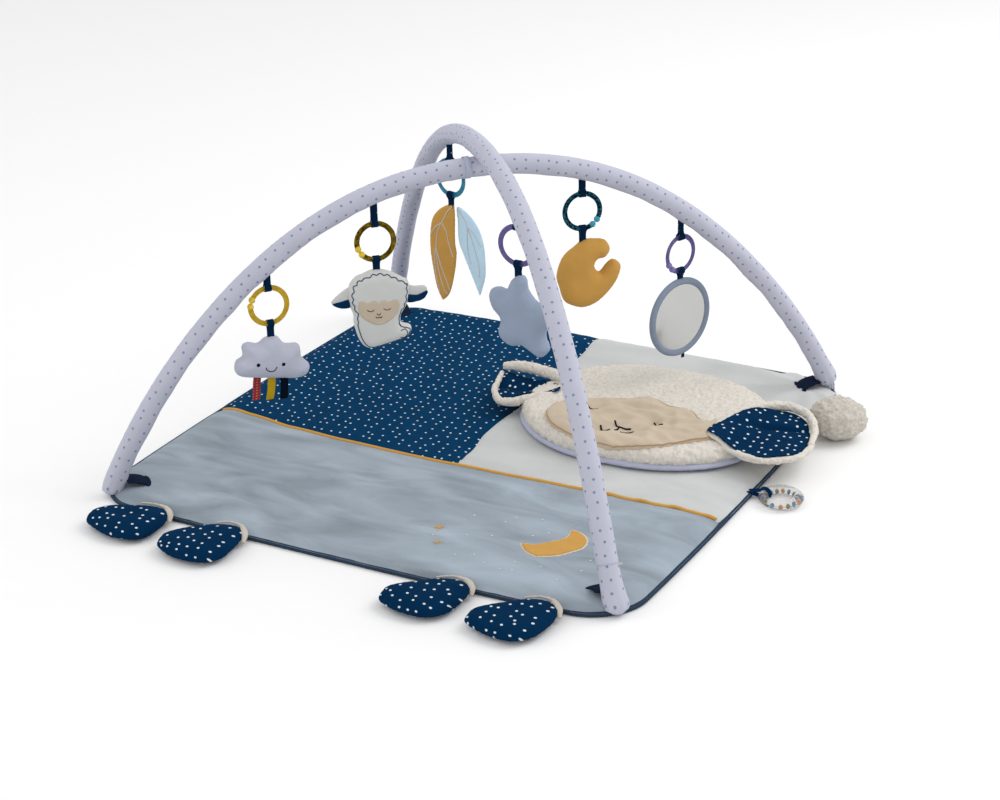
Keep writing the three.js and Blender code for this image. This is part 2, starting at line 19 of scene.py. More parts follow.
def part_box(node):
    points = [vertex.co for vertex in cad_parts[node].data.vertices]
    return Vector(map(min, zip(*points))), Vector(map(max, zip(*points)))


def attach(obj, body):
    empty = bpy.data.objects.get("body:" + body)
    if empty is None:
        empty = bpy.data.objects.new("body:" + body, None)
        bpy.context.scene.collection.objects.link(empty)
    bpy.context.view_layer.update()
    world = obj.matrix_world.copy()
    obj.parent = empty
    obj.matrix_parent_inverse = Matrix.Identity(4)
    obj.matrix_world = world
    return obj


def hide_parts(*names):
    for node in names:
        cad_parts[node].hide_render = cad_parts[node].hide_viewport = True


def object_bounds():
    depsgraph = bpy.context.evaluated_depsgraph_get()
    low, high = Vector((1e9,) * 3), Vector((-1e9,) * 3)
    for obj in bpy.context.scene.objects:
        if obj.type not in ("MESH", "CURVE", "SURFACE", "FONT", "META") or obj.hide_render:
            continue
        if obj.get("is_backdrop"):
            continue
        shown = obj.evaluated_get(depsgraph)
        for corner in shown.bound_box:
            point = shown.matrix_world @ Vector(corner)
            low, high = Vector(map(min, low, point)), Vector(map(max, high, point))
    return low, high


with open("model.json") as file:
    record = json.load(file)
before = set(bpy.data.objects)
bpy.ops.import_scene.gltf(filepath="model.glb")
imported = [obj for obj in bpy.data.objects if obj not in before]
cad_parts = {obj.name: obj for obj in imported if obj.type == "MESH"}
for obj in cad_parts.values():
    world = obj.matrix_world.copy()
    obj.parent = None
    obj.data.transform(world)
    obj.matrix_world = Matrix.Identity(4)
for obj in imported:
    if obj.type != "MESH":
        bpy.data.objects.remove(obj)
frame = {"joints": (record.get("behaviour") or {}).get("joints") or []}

cad_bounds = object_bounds()
MM = 0.001
print("CAD box", cad_bounds)

# %% [markdown]
# ## Camera and studio
# The camera stands in front and to the right of the mat, a little above the arches, and rolls by just
# over a degree. A long lens keeps the square mat from looking stretched. The studio is a pale floor
# under a white sky, with a large soft lamp behind on the right and a weaker one in front on the left.

# %% Camera
CAMERA_PLACE = Vector((1.5026, -2.6943, 1.4161))
CAMERA_AZIMUTH = math.radians(28.742)
CAMERA_HEIGHT_ANGLE = math.radians(23.547)
CAMERA_ROLL = math.radians(-1.378)
CAMERA_LENS = 75.84


def camera_turn():
    level = math.cos(CAMERA_HEIGHT_ANGLE)
    right = Vector((math.cos(CAMERA_AZIMUTH), math.sin(CAMERA_AZIMUTH), 0))
    back = Vector((
        math.sin(CAMERA_AZIMUTH) * level,
        -math.cos(CAMERA_AZIMUTH) * level,
        math.sin(CAMERA_HEIGHT_ANGLE),
    ))
    turn = Matrix((right, back.cross(right), back)).transposed()
    return turn @ Matrix.Rotation(CAMERA_ROLL, 3, "Z")


camera_data = bpy.data.cameras.new("camera")
camera_data.lens = CAMERA_LENS
camera = bpy.data.objects.new("camera", camera_data)
camera.matrix_world = Matrix.Translation(CAMERA_PLACE) @ camera_turn().to_4x4()
bpy.context.scene.collection.objects.link(camera)
bpy.context.scene.camera = camera
print("camera with a", CAMERA_LENS, "mm lens")

# %% Studio
SKY_STRENGTH = 0.85
LAMP_TARGET = (0, 0, 0.1)


def soft_lamp(name, place, target, size, watts):
    data = bpy.data.lights.new(name, "AREA")
    data.size = size
    data.energy = watts
    lamp = bpy.data.objects.new(name, data)
    aim = (Vector(target) - Vector(place)).to_track_quat("-Z", "Y")
    lamp.matrix_world = Matrix.Translation(place) @ aim.to_matrix().to_4x4()
    bpy.context.scene.collection.objects.link(lamp)


soft_lamp("key_lamp", (2.2, 1.8, 3.0), LAMP_TARGET, size=2.4, watts=62)
soft_lamp("fill_lamp", (-2.4, -2.2, 2.4), LAMP_TARGET, size=3.0, watts=18)
world = bpy.data.worlds.new("studio")
bpy.context.scene.world = world
world.use_nodes = True
sky = world.node_tree.nodes["Background"]
sky.inputs["Color"].default_value = (1, 1, 1, 1)
sky.inputs["Strength"].default_value = SKY_STRENGTH
bpy.context.scene.view_settings.view_transform = "Standard"
print("two lamps, and a sky of strength", SKY_STRENGTH)

# %% [markdown]
# ## Cloth and plastic
# Most of the gym is cloth, and cloth is told apart by its pile, its print and how it takes light at a
# glancing angle. Each effect that several finishes share is one node group with named inputs, so a print
# or a pile is made once and given its own size in each material.

# %% Node group helpers
def colour(red, green, blue):
    """A display colour from 0 to 255, as the linear colour that a shader needs."""
    linear = [((c / 255 + 0.055) / 1.055) ** 2.4 if c > 10 else c / 255 / 12.92 for c in (red, green, blue)]
    return (*linear, 1)


def new_group(name, sizes, results):
    """A node group that takes a Vector and plain sizes, with its input and output sockets."""
    group = bpy.data.node_groups.new(name, "ShaderNodeTree")
    group.interface.new_socket("Vector", in_out="INPUT", socket_type="NodeSocketVector")
    for label, default in sizes.items():
        socket = group.interface.new_socket(label, in_out="INPUT", socket_type="NodeSocketFloat")
        socket.default_value = default
    for label in results:
        group.interface.new_socket(label, in_out="OUTPUT", socket_type="NodeSocketFloat")
    return group, group.nodes.new("NodeGroupInput").outputs, group.nodes.new("NodeGroupOutput").inputs


def put(tree, kind, links=(), **settings):
    """Adds one node, sets its properties or input defaults, and links its inputs."""
    node = tree.nodes.new(kind)
    for key, value in settings.items():
        if hasattr(node, key):
            setattr(node, key, value)
        else:
            node.inputs[key.replace("_", " ")].default_value = value
    for socket, source in dict(links).items():
        tree.links.new(source, node.inputs[socket])
    return node


def maths(tree, operation, *terms):
    """The result of a Math node. Each term is a socket to link or a plain number."""
    node = put(tree, "ShaderNodeMath", operation=operation)
    for socket, term in zip(node.inputs, terms):
        if isinstance(term, (int, float)):
            socket.default_value = term
        else:
            tree.links.new(term, socket)
    return node.outputs[0]


def spread(tree, value, least, most):
    """A value between 0 and 1, carried onto the range from least to most."""
    return put(tree, "ShaderNodeMapRange", {"Value": value}, To_Min=least, To_Max=most).outputs[0]


# %% Printed dots
# A Voronoi texture scatters one point in each cell, and a disc is drawn round it. With less randomness
# the points fall into rows, as they do on a printed cotton.
def make_dots():
    sizes = {"Spacing": 0.018, "Radius": 0.0019, "Jitter": 0.5}
    group, given, out = new_group("printed_dots", sizes, ["Mask"])
    per_metre = maths(group, "DIVIDE", 1, given["Spacing"])
    cells = put(
        group,
        "ShaderNodeTexVoronoi",
        {"Vector": given["Vector"], "Scale": per_metre, "Randomness": given["Jitter"]},
        voronoi_dimensions="2D",
    )
    reach = maths(group, "MULTIPLY", cells.outputs["Distance"], given["Spacing"])
    edge = put(
        group,
        "ShaderNodeMapRange",
        {"Value": maths(group, "SUBTRACT", given["Radius"], reach)},
        interpolation_type="SMOOTHSTEP",
        From_Min=-0.0002,
        From_Max=0.0003,
    )
    group.links.new(edge.outputs[0], out["Mask"])
    return group


# %% Woven cloth
# Threads over and under each other: two sine waves, one along each thread, with slow noise for the way
# that a real cloth is never quite even.
def make_weave():
    group, given, out = new_group("woven_cloth", {"Thread": 0.0009, "Uneven": 0.06}, ["Height", "Shade"])
    parts = put(group, "ShaderNodeSeparateXYZ", {0: given["Vector"]})
    waves = []
    for axis in ("X", "Y"):
        turns = maths(group, "DIVIDE", parts.outputs[axis], given["Thread"])
        waves.append(maths(group, "SINE", maths(group, "MULTIPLY", turns, math.pi)))
    slow = put(group, "ShaderNodeTexNoise", {"Vector": given["Vector"]}, Scale=38.0, Detail=4.0)
    centred = maths(group, "SUBTRACT", slow.outputs["Fac"], 0.5)
    shade = maths(group, "MULTIPLY_ADD", centred, given["Uneven"], 1)
    group.links.new(maths(group, "MULTIPLY", *waves), out["Height"])
    group.links.new(shade, out["Shade"])
    return group


# %% Brushed pile
# Velour lies in the direction that it was last stroked, and the sheen that this gives is painted into its
# colour: wide lighter and darker streaks, with a fine grain of fibre ends over them.
STROKE_TURN = math.radians(14)
STROKE_STRETCH = (0.55, 1.5, 1)


def make_pile():
    sizes = {"Stroke": 9.0, "Contrast": 0.22, "Grain": 700.0}
    group, given, out = new_group("brushed_pile", sizes, ["Height", "Shade"])
    stretched = put(
        group,
        "ShaderNodeMapping",
        {"Vector": given["Vector"]},
        Rotation=(0, 0, STROKE_TURN),
        Scale=STROKE_STRETCH,
    )
    sheen_strokes = put(
        group,
        "ShaderNodeTexNoise",
        {"Vector": stretched.outputs[0], "Scale": given["Stroke"]},
        Detail=5.0,
        Distortion=0.7,
    )
    # Painted sheen: the streak noise makes the pile's colour lighter and darker.
    centred = maths(group, "SUBTRACT", sheen_strokes.outputs["Fac"], 0.5)
    broad_sheen = maths(group, "MULTIPLY_ADD", centred, given["Contrast"], 1)
    grain = put(group, "ShaderNodeTexNoise", {"Vector": given["Vector"], "Scale": given["Grain"]}, Detail=2.0)
    fine = spread(group, grain.outputs["Fac"], 0.93, 1.05)
    group.links.new(grain.outputs["Fac"], out["Height"])
    group.links.new(maths(group, "MULTIPLY", broad_sheen, fine), out["Shade"])
    return group


# %% Curly fleece
# Sherpa is a pile of small curled tufts. The tufts are cells of a Voronoi texture bent by noise, and painted
# shade darkens the gaps between them, by Depth; the mesh under it carries the larger tufts as real lumps.
CURL_BEND = 0.006


def make_curl():
    group, given, out = new_group("curly_fleece", {"Tufts": 260.0, "Depth": 0.3}, ["Height", "Shade"])
    bend = put(group, "ShaderNodeTexNoise", {"Vector": given["Vector"]}, Scale=180.0, Detail=3.0)
    push = put(group, "ShaderNodeVectorMath", {0: bend.outputs["Color"]}, operation="SCALE", Scale=CURL_BEND)
    bent = put(group, "ShaderNodeVectorMath", {0: given["Vector"], 1: push.outputs[0]}, operation="ADD")
    links = {"Vector": bent.outputs[0], "Scale": given["Tufts"]}
    tufts = put(group, "ShaderNodeTexVoronoi", links, feature="SMOOTH_F1").outputs["Distance"]
    fine = put(group, "ShaderNodeTexNoise", {"Vector": bent.outputs[0]}, Scale=900.0, Detail=3.0)
    height = maths(group, "MULTIPLY_ADD", fine.outputs["Fac"], 0.35, maths(group, "SUBTRACT", 1, tufts))
    # Painted shade: the colour darkens away from each tuft's centre, into the gaps between tufts.
    shade = maths(group, "SUBTRACT", 1.08, maths(group, "MULTIPLY", tufts, given["Depth"]))
    group.links.new(height, out["Height"])
    group.links.new(shade, out["Shade"])
    return group


GROUPS = {"dots": make_dots(), "weave": make_weave(), "pile": make_pile(), "curl": make_curl()}
print("node groups", sorted(GROUPS))

# %% Material helpers
CLOTH_SHINE = 0.03
CLOTH_ROUGHNESS = 0.8


def finish(name, roughness, sheen=0.0, **plain):
    """A material with one Principled shader, and the plain values set on the shader's own sockets."""
    material = bpy.data.materials.new(name)
    material.use_nodes = True
    shader = material.node_tree.nodes["Principled BSDF"]
    shader.inputs["Roughness"].default_value = roughness
    shader.inputs["Sheen Weight"].default_value = sheen
    shader.inputs["Sheen Roughness"].default_value = 0.5
    shader.inputs["Specular IOR Level"].default_value = CLOTH_SHINE if roughness > CLOTH_ROUGHNESS else 0.5
    for socket, value in plain.items():
        shader.inputs[socket.replace("_", " ")].default_value = value
    return material, material.node_tree, shader


def place_on(tree, source):
    """Where a pattern lies: on the object's own metres, or on the cloth's UV map, which is in metres too."""
    if source == "cloth":
        return put(tree, "ShaderNodeUVMap", uv_map="cloth").outputs["UV"]
    return put(tree, "ShaderNodeTexCoord").outputs["Object"]


def use_group(tree, key, vector, **values):
    node = tree.nodes.new("ShaderNodeGroup")
    node.node_tree = GROUPS[key]
    tree.links.new(vector, node.inputs["Vector"])
    for label, value in values.items():
        node.inputs[label].default_value = value
    return node


def tinted(tree, base, shade):
    """The base colour, a colour or a socket, made lighter or darker by shade."""
    scale = put(tree, "ShaderNodeVectorMath", {"Scale": shade}, operation="SCALE")
    if isinstance(base, tuple):
        scale.inputs[0].default_value = base[:3]
    else:
        tree.links.new(base, scale.inputs[0])
    return scale.outputs[0]


def mixed(tree, mask, under, over):
    mix = put(tree, "ShaderNodeMix", {"Factor": mask}, data_type="RGBA")
    for label, value in (("A", under), ("B", over)):
        socket = [s for s in mix.inputs if s.name == label and s.type == "RGBA"][0]
        if isinstance(value, tuple):
            socket.default_value = value
        else:
            tree.links.new(value, socket)
    return [s for s in mix.outputs if s.type == "RGBA"][0]


def raise_bump(tree, shader, height, distance, strength=1.0):
    bump = put(tree, "ShaderNodeBump", {"Height": height}, Strength=strength, Distance=distance)
    tree.links.new(bump.outputs[0], shader.inputs["Normal"])


# %% Woven and printed cottons
# Dots are given as their colour, spacing, radius and jitter.
def cotton(name, base, source="object", thread=0.0009, uneven=0.12, dots=None, roughness=0.9, sheen=0.0):
    material, tree, shader = finish(name, roughness, sheen)
    vector = place_on(tree, source)
    weave = use_group(tree, "weave", vector, Thread=thread, Uneven=uneven)
    socket = base
    if dots:
        dot_colour, spacing, radius, jitter = dots
        mask = use_group(tree, "dots", vector, Spacing=spacing, Radius=radius, Jitter=jitter)
        socket = mixed(tree, mask.outputs["Mask"], base, dot_colour)
    tree.links.new(tinted(tree, socket, weave.outputs["Shade"]), shader.inputs["Base Color"])
    raise_bump(tree, shader, weave.outputs["Height"], distance=thread * 0.22, strength=0.6)
    return material


# %% Velours and fleece
def velour(name, base, stroke=9.0, contrast=0.22, sheen=0.08, source="object"):
    material, tree, shader = finish(name, 0.95, sheen)
    pile = use_group(tree, "pile", place_on(tree, source), Stroke=stroke, Contrast=contrast)
    # The pile group's Shade is painted sheen, put into the base colour.
    tree.links.new(tinted(tree, base, pile.outputs["Shade"]), shader.inputs["Base Color"])
    raise_bump(tree, shader, pile.outputs["Height"], distance=0.0006, strength=0.5)
    return material


def fleece(name, base, tufts=260.0, depth=0.3):
    material, tree, shader = finish(name, 0.97, 0.1)
    curl = use_group(tree, "curl", place_on(tree, "object"), Tufts=tufts, Depth=depth)
    # The curl group's Shade is painted shade in the gaps between tufts, put into the base colour.
    tree.links.new(tinted(tree, base, curl.outputs["Shade"]), shader.inputs["Base Color"])
    raise_bump(tree, shader, curl.outputs["Height"], distance=0.0014, strength=0.7)
    return material


# %% Moulded plastics
def hazy(tree, shader, base, scale, detail, least, most):
    """Noise that makes the base colour a little darker and lighter. It is given back for other uses."""
    haze = put(tree, "ShaderNodeTexNoise", {"Vector": place_on(tree, "object")}, Scale=scale, Detail=detail)
    shade = spread(tree, haze.outputs["Fac"], least, most)
    tree.links.new(tinted(tree, base, shade), shader.inputs["Base Color"])
    return haze.outputs["Fac"]


def plastic(name, base, roughness=0.3):
    material, tree, shader = finish(name, roughness)
    haze = hazy(tree, shader, base, 240.0, 3.0, 0.94, 1.05)
    tree.links.new(spread(tree, haze, roughness - 0.06, roughness + 0.1), shader.inputs["Roughness"])
    raise_bump(tree, shader, haze, distance=0.0001, strength=0.3)
    return material


WHITE_DOT = colour(214, 222, 228)
SLEEVE_DOT = colour(128, 142, 168)
RIBBON_DOT = colour(206, 160, 60)
HOOF_DOTS = (WHITE_DOT, 0.0175, 0.0021, 0.6)
TAPE_DOTS = (WHITE_DOT, 0.0120, 0.0010, 0.4)
MAT_DOTS = (WHITE_DOT, 0.0180, 0.0018, 0.5)
SLEEVE_DOTS = (SLEEVE_DOT, 0.0170, 0.0020, 0.35)
RIBBON_DOTS = (RIBBON_DOT, 0.0034, 0.0006, 0.1)
M = {
    # Each velour's colour carries painted sheen as lighter and darker streaks, strongest on the grey velour.
    "grey_velour": velour("grey_velour", colour(149, 160, 170), stroke=11.0, contrast=1.3),
    "white_velour": velour("white_velour", colour(194, 196, 195), stroke=9.0, contrast=0.45),
    "navy_mat": cotton("navy_dotted_cotton", colour(4, 55, 91), dots=MAT_DOTS, uneven=0.4),
    "navy_hoof": cotton("navy_hoof_cotton", colour(3, 43, 76), "cloth", dots=HOOF_DOTS, uneven=0.4),
    "navy_tape": cotton("navy_tape", colour(6, 34, 62), "cloth", 0.0007, 0.3, dots=TAPE_DOTS),
    "navy_webbing": cotton("navy_webbing", colour(22, 34, 54), "cloth", 0.0016, 0.3),
    "navy_cord": cotton("navy_cord", colour(8, 46, 82), "cloth", 0.001, 0.3),
    "binding": cotton("slate_binding", colour(50, 66, 84), "cloth", 0.0012, 0.25),
    "underside": cotton("slate_underside", colour(70, 84, 100), thread=0.0012, uneven=0.2),
    "sleeve": cotton("sleeve_cotton", colour(191, 192, 207), "cloth", 0.0008, 0.1, dots=SLEEVE_DOTS),
    "lavender": cotton("lavender_cotton", colour(182, 186, 206), thread=0.0009, uneven=0.12),
    "mustard": velour("mustard_velour", colour(200, 152, 78), stroke=22.0, contrast=0.2),
    "piping": cotton("mustard_piping", colour(205, 155, 76), "cloth", 0.0012, 0.2),
    "white_edging": cotton("white_edging", colour(214, 208, 196), thread=0.001, uneven=0.1),
    "cloud": velour("cloud_knit", colour(187, 189, 204), stroke=20.0, contrast=0.12),
    "star": velour("star_velour", colour(148, 160, 180), stroke=20.0, contrast=0.16),
    "leaf_blue": velour("blue_leaf_velour", colour(200, 229, 246), stroke=24.0, contrast=0.14),
    "vein": cotton("pale_stitching", colour(205, 203, 200), thread=0.0008, uneven=0.15),
    "face": velour("face_velour", colour(198, 183, 162), stroke=14.0, contrast=0.2),
    "sherpa": fleece("sherpa", colour(222, 216, 206)),
    # The tail's fleece has deeper painted shade in the gaps between its tufts.
    "tail": fleece("tail_sherpa", colour(206, 200, 190), tufts=230.0, depth=0.42),
    "thread": cotton("dark_thread", colour(26, 32, 44), thread=0.0006, uneven=0.2),
    "rim": cotton("mirror_rim_cloth", colour(134, 146, 164), thread=0.0009, uneven=0.2),
    "cream": cotton("cream_cloth", colour(205, 196, 184), thread=0.001, uneven=0.15),
    "ribbon_red": cotton("red_ribbon", colour(146, 52, 62), "cloth", 0.0006, 0.1, dots=RIBBON_DOTS),
    "ribbon_yellow": cotton("yellow_ribbon", colour(186, 154, 30), "cloth", 0.0008, 0.15),
    "ribbon_navy": cotton("dark_ribbon", colour(10, 18, 34), "cloth", 0.0008, 0.3),
    "yellow_plastic": plastic("yellow_plastic", colour(224, 192, 38)),
    "teal_plastic": plastic("teal_plastic", colour(42, 150, 178)),
    "purple_plastic": plastic("purple_plastic", colour(120, 110, 172)),
}
print(len(M), "finishes")

# %% [markdown]
# ## How the pieces are made
# A lattice is a sheet of cloth cut as a rectangle and put where a rule says, and a tube is a lattice
# rolled round a path. A cushion starts as a flat slab of its outline, is remeshed into even squares, and
# is then filled: its middle rises and its sewn edge stays thin, with small puckers along the seam.

# %% Lattices and tubes
# A lattice keeps its cloth's own size in its UV map, so a print or a weave isn't stretched on it.
def new_object(name, bm, smooth=True):
    mesh = bpy.data.meshes.new(name)
    bm.to_mesh(mesh)
    bm.free()
    for polygon in mesh.polygons:
        polygon.use_smooth = smooth
    obj = bpy.data.objects.new(name, mesh)
    bpy.context.scene.collection.objects.link(obj)
    return obj


def dress(obj, body, material, slot, *nodes):
    """Gives a finished piece its material, the body it moves with and the CAD nodes it stands for."""
    obj.data.materials.append(M[material])
    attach(obj, body)
    if nodes:
        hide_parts(*nodes)
    return obj


def lattice(name, rows, columns, place, size):
    """A sheet of rows by columns. place(u, v) gives each point, and size is the cloth's own size."""
    bm = bmesh.new()
    bmesh.ops.create_grid(bm, x_segments=rows, y_segments=columns, size=0.5)
    uv = bm.loops.layers.uv.new("cloth")
    for face in bm.faces:
        for loop in face.loops:
            loop[uv].uv = ((loop.vert.co.x + 0.5) * size[0], (loop.vert.co.y + 0.5) * size[1])
    for vert in bm.verts:
        vert.co = place(vert.co.x + 0.5, vert.co.y + 0.5)
    bmesh.ops.remove_doubles(bm, verts=bm.verts, dist=1e-6)
    bmesh.ops.recalc_face_normals(bm, faces=bm.faces)
    return new_object(name, bm)


def framed(path, closed=False, first_side=None):
    """Each point of a path with its two cross directions, turned as little as possible along the way."""
    count = len(path)
    tangents = []
    for i in range(count):
        before = path[i - 1] if i or closed else path[i]
        after = path[(i + 1) % count] if i + 1 < count or closed else path[i]
        tangents.append((after - before).normalized())
    side = first_side or tangents[0].orthogonal().normalized()
    frames = []
    for point, tangent in zip(path, tangents):
        side = (side - tangent * side.dot(tangent)).normalized()
        frames.append((point, side, tangent.cross(side)))
    return frames


def path_length(path):
    return sum((b - a).length for a, b in zip(path, path[1:]))


def tube(name, path, radius, sides=20, closed=False, capped=True, first_side=None):
    """A tube along a path. radius is a number, or a function of the length along it and the angle."""
    frames = framed(path, closed, first_side)
    if closed:
        frames = frames + [frames[0]]
    run = [0.0]
    for a, b in zip(frames, frames[1:]):
        run.append(run[-1] + (b[0] - a[0]).length)
    rows = [(i, 1.0) for i in range(len(frames))]
    if capped and not closed:
        rows = [(0, 0.0), (0, 0.6)] + rows + [(len(frames) - 1, 0.6), (len(frames) - 1, 0.0)]
    mean = radius(run[-1] / 2, 0) if callable(radius) else radius

    def place(u, v):
        i, share = rows[round(u * (len(rows) - 1))]
        point, side, other = frames[i]
        angle = math.tau * v
        reach = (radius(run[i], angle) if callable(radius) else radius) * share
        return point + (side * math.cos(angle) + other * math.sin(angle)) * reach

    return lattice(name, len(rows) - 1, sides, place, (run[-1], math.tau * mean))


def tape(name, path, across, width, thickness):
    """A flat woven tape along a path, its width along the direction across."""
    corners = [(-0.5, -0.5), (-0.5, 0.5), (0.5, 0.5), (0.5, -0.5), (-0.5, -0.5)]
    frames = framed(path)
    flat = Vector(across).normalized()
    rows = [(0, 0.0)] + [(i, 1.0) for i in range(len(path))] + [(len(path) - 1, 0.0)]

    def place(u, v):
        i, share = rows[round(u * (len(rows) - 1))]
        point, side, other = frames[i]
        tangent = side.cross(other)
        up = tangent.cross(flat).normalized()
        a, b = corners[round(v * 4)]
        return point + (flat * a * width + up * b * thickness) * share

    obj = lattice(name, len(rows) - 1, 4, place, (path_length(path), 2 * (width + thickness)))
    bevel = obj.modifiers.new("soft_edge", "BEVEL")
    bevel.width = thickness * 0.3
    bevel.segments = 1
    return obj


# %% Smooth outlines
def hermite(a, leaving, b, arriving, t):
    """The point at t on a smooth curve from a to b, which leaves and arrives as told."""
    return (
        a * (2 * t**3 - 3 * t**2 + 1)
        + leaving * (t**3 - 2 * t**2 + t)
        + b * (3 * t**2 - 2 * t**3)
        + arriving * (t**3 - t**2)
    )


def rounded_loop(points, step=0.0015, sharp=()):
    """A smooth closed line through points, or with a corner at each index in sharp."""
    count = len(points)
    line = []
    for i in range(count):
        a, b, c, d = (Vector(points[(i + k) % count]) for k in (-1, 0, 1, 2))
        start = Vector((0, 0)) if i in sharp else (c - a) / 2
        end = Vector((0, 0)) if (i + 1) % count in sharp else (d - b) / 2
        parts = max(2, math.ceil((c - b).length / step))
        line += [hermite(b, start, c, end, k / parts) for k in range(parts)]
    return line


def smooth_run(points, step=0.001):
    """A smooth open line through points in space."""
    line = []
    for i in range(len(points) - 1):
        a, b = points[max(i - 1, 0)], points[i]
        c, d = points[i + 1], points[min(i + 2, len(points) - 1)]
        parts = max(2, math.ceil((c - b).length / step))
        line += [hermite(b, (c - a) / 2, c, (d - b) / 2, k / parts) for k in range(parts)]
    return line + [points[-1]]


# %% Humps and edges
# Most of the cloth's shape is added up from a few simple curves of the distance to a seam or a corner.
def hump(distance, width):
    """A bell curve: 1 at no distance, and nearly nothing beyond twice the width."""
    return math.exp(-((distance / width) ** 2))


def fading(distance, width):
    """1 at no distance, dying away over the width."""
    return math.exp(-distance / width)


def round_edge(distance, shoulder):
    """How far a rounded edge has risen at a distance from its seam, from 0 to 1."""
    share = min(distance / shoulder, 1)
    return math.sqrt(max(0, 1 - (1 - share) ** 2))


# %% Cushions
SLAB_HALF = 0.003
PUCKER_TURN = 1.15
PUCKER_REACH = 0.006
LUMP_SIZE = 0.03


def extruded(outline, z, height):
    """A flat slab of an outline, from z up by height."""
    bm = bmesh.new()
    base = bm.faces.new([bm.verts.new((p.x, p.y, z)) for p in outline])
    raised = bmesh.ops.extrude_face_region(bm, geom=[base])
    top = [g for g in raised["geom"] if isinstance(g, bmesh.types.BMVert)]
    bmesh.ops.translate(bm, verts=top, vec=(0, 0, height))
    bmesh.ops.recalc_face_normals(bm, faces=bm.faces)
    return bm


def remeshed(rough, voxel):
    """A rough object made into even squares. The rough object itself is thrown away."""
    remesh = rough.modifiers.new("even", "REMESH")
    remesh.mode = "VOXEL"
    remesh.voxel_size = voxel
    bpy.context.view_layer.update()
    even = bpy.data.meshes.new_from_object(rough.evaluated_get(bpy.context.evaluated_depsgraph_get()))
    bpy.data.objects.remove(rough)
    bm = bmesh.new()
    bm.from_mesh(even)
    bpy.data.meshes.remove(even)
    return bm


def cushion(name, outline, height, voxel=0.0022, pucker=0.0006, turn=Matrix.Identity(4), lump=0.0):
    """A stuffed shape. outline is its seam in X and Y, height(d, x, y) its half thickness at a distance d
    from the seam, and turn the matrix that stands it in its place. Its UV map is in metres, and runs on
    down over the front edge so that a print keeps its size there."""
    bm = extruded(outline, -SLAB_HALF, 2 * SLAB_HALF)
    bmesh.ops.triangulate(bm, faces=bm.faces)
    bm = remeshed(new_object(name + "_slab", bm), voxel)
    seam = KDTree(len(outline))
    for i, p in enumerate(outline):
        seam.insert((p.x, p.y, 0), i)
    seam.balance()
    for vert in bm.verts:
        x, y = vert.co.x, vert.co.y
        index, distance = seam.find((x, y, 0))[1:]
        rise = height(distance, x, y)
        ripple = math.sin(index * PUCKER_TURN) * pucker * fading(distance, PUCKER_REACH)
        rise += ripple + lump * noise.noise(Vector((x, y, 0)) / LUMP_SIZE)
        vert.co.z = max(-1, min(1, vert.co.z / SLAB_HALF)) * rise
    uv = bm.loops.layers.uv.new("cloth")
    for face in bm.faces:
        for loop in face.loops:
            x, y, z = loop.vert.co
            loop[uv].uv = (x, y + z)
    axes = {"use_axis_x": True, "use_axis_y": True, "use_axis_z": True}
    for _ in range(2):
        bmesh.ops.smooth_vert(bm, verts=bm.verts, factor=0.5, **axes)
    bmesh.ops.transform(bm, matrix=turn, verts=bm.verts)
    bmesh.ops.recalc_face_normals(bm, faces=bm.faces)
    return new_object(name, bm)


def filled(most, shoulder, least=0.0008):
    """The half thickness of a stuffed cushion, rising like a circle's edge to most over shoulder."""

    def height(d, x, y):
        return least + (most - least) * round_edge(d, shoulder)

    return height


# %% Laying thread and patches on a surface
DOWN = (0, 0, -1)
RAY_START = 0.3


def surface_of(*pieces):
    """The joined surface of some pieces, for rays to meet."""
    points, faces = [], []
    for piece in pieces:
        start = len(points)
        points += [v.co.copy() for v in piece.data.vertices]
        faces += [tuple(start + i for i in p.vertices) for p in piece.data.polygons]
    return BVHTree.FromPolygons(points, faces)


def under(surface, p):
    """The point of a surface straight under p, or None."""
    return surface.ray_cast(Vector((p.x, p.y, RAY_START)), Vector(DOWN))[0]


def laid(surface, points, toward, lift):
    """Points moved onto the surface along the direction toward, and then lifted off it."""
    toward = Vector(toward).normalized()
    hits = [surface.ray_cast(p - toward * RAY_START, toward)[0] for p in points]
    return [hit - toward * lift for hit in hits if hit]


def stitch(name, surface, points, toward, radius, lift=0.0002):
    return tube(name, laid(surface, smooth_run(points, 0.0012), toward, lift), radius, sides=8)


def patch(name, surface, outline, toward, lift, turn=Matrix.Identity(4), voxel=0.0025, thick=0.0012):
    """A flat appliqued shape: its outline laid over the surface, following it."""
    bm = bmesh.new()
    face = bm.faces.new([bm.verts.new((p.x, p.y, 0)) for p in outline])
    face.normal_update()
    bmesh.ops.triangulate(bm, faces=[face])
    flat = new_object(name + "_cut", bm)
    solid = flat.modifiers.new("thick", "SOLIDIFY")
    solid.thickness = thick * 2
    solid.offset = 0
    bm = remeshed(flat, voxel)
    uv = bm.loops.layers.uv.new("cloth")
    for face in bm.faces:
        for loop in face.loops:
            loop[uv].uv = loop.vert.co.xy
    bmesh.ops.transform(bm, matrix=turn, verts=bm.verts)
    toward = Vector(toward).normalized()
    plane = turn.translation.dot(toward)
    for vert in bm.verts:
        above = plane - vert.co.dot(toward)
        hit = surface.ray_cast(vert.co - toward * RAY_START, toward)[0]
        if hit:
            vert.co = hit - toward * (lift + above)
    bmesh.ops.recalc_face_normals(bm, faces=bm.faces)
    return new_object(name, bm)


def in_mm(points):
    return [(x * MM, y * MM) for x, y in points]


def swollen(outline, amount):
    """An outline moved outward by amount. The outline runs anticlockwise."""
    out = []
    for i, p in enumerate(outline):
        along = (outline[(i + 1) % len(outline)] - outline[i - 1]).normalized()
        out.append(p + Vector((along.y, -along.x)) * amount)
    return out
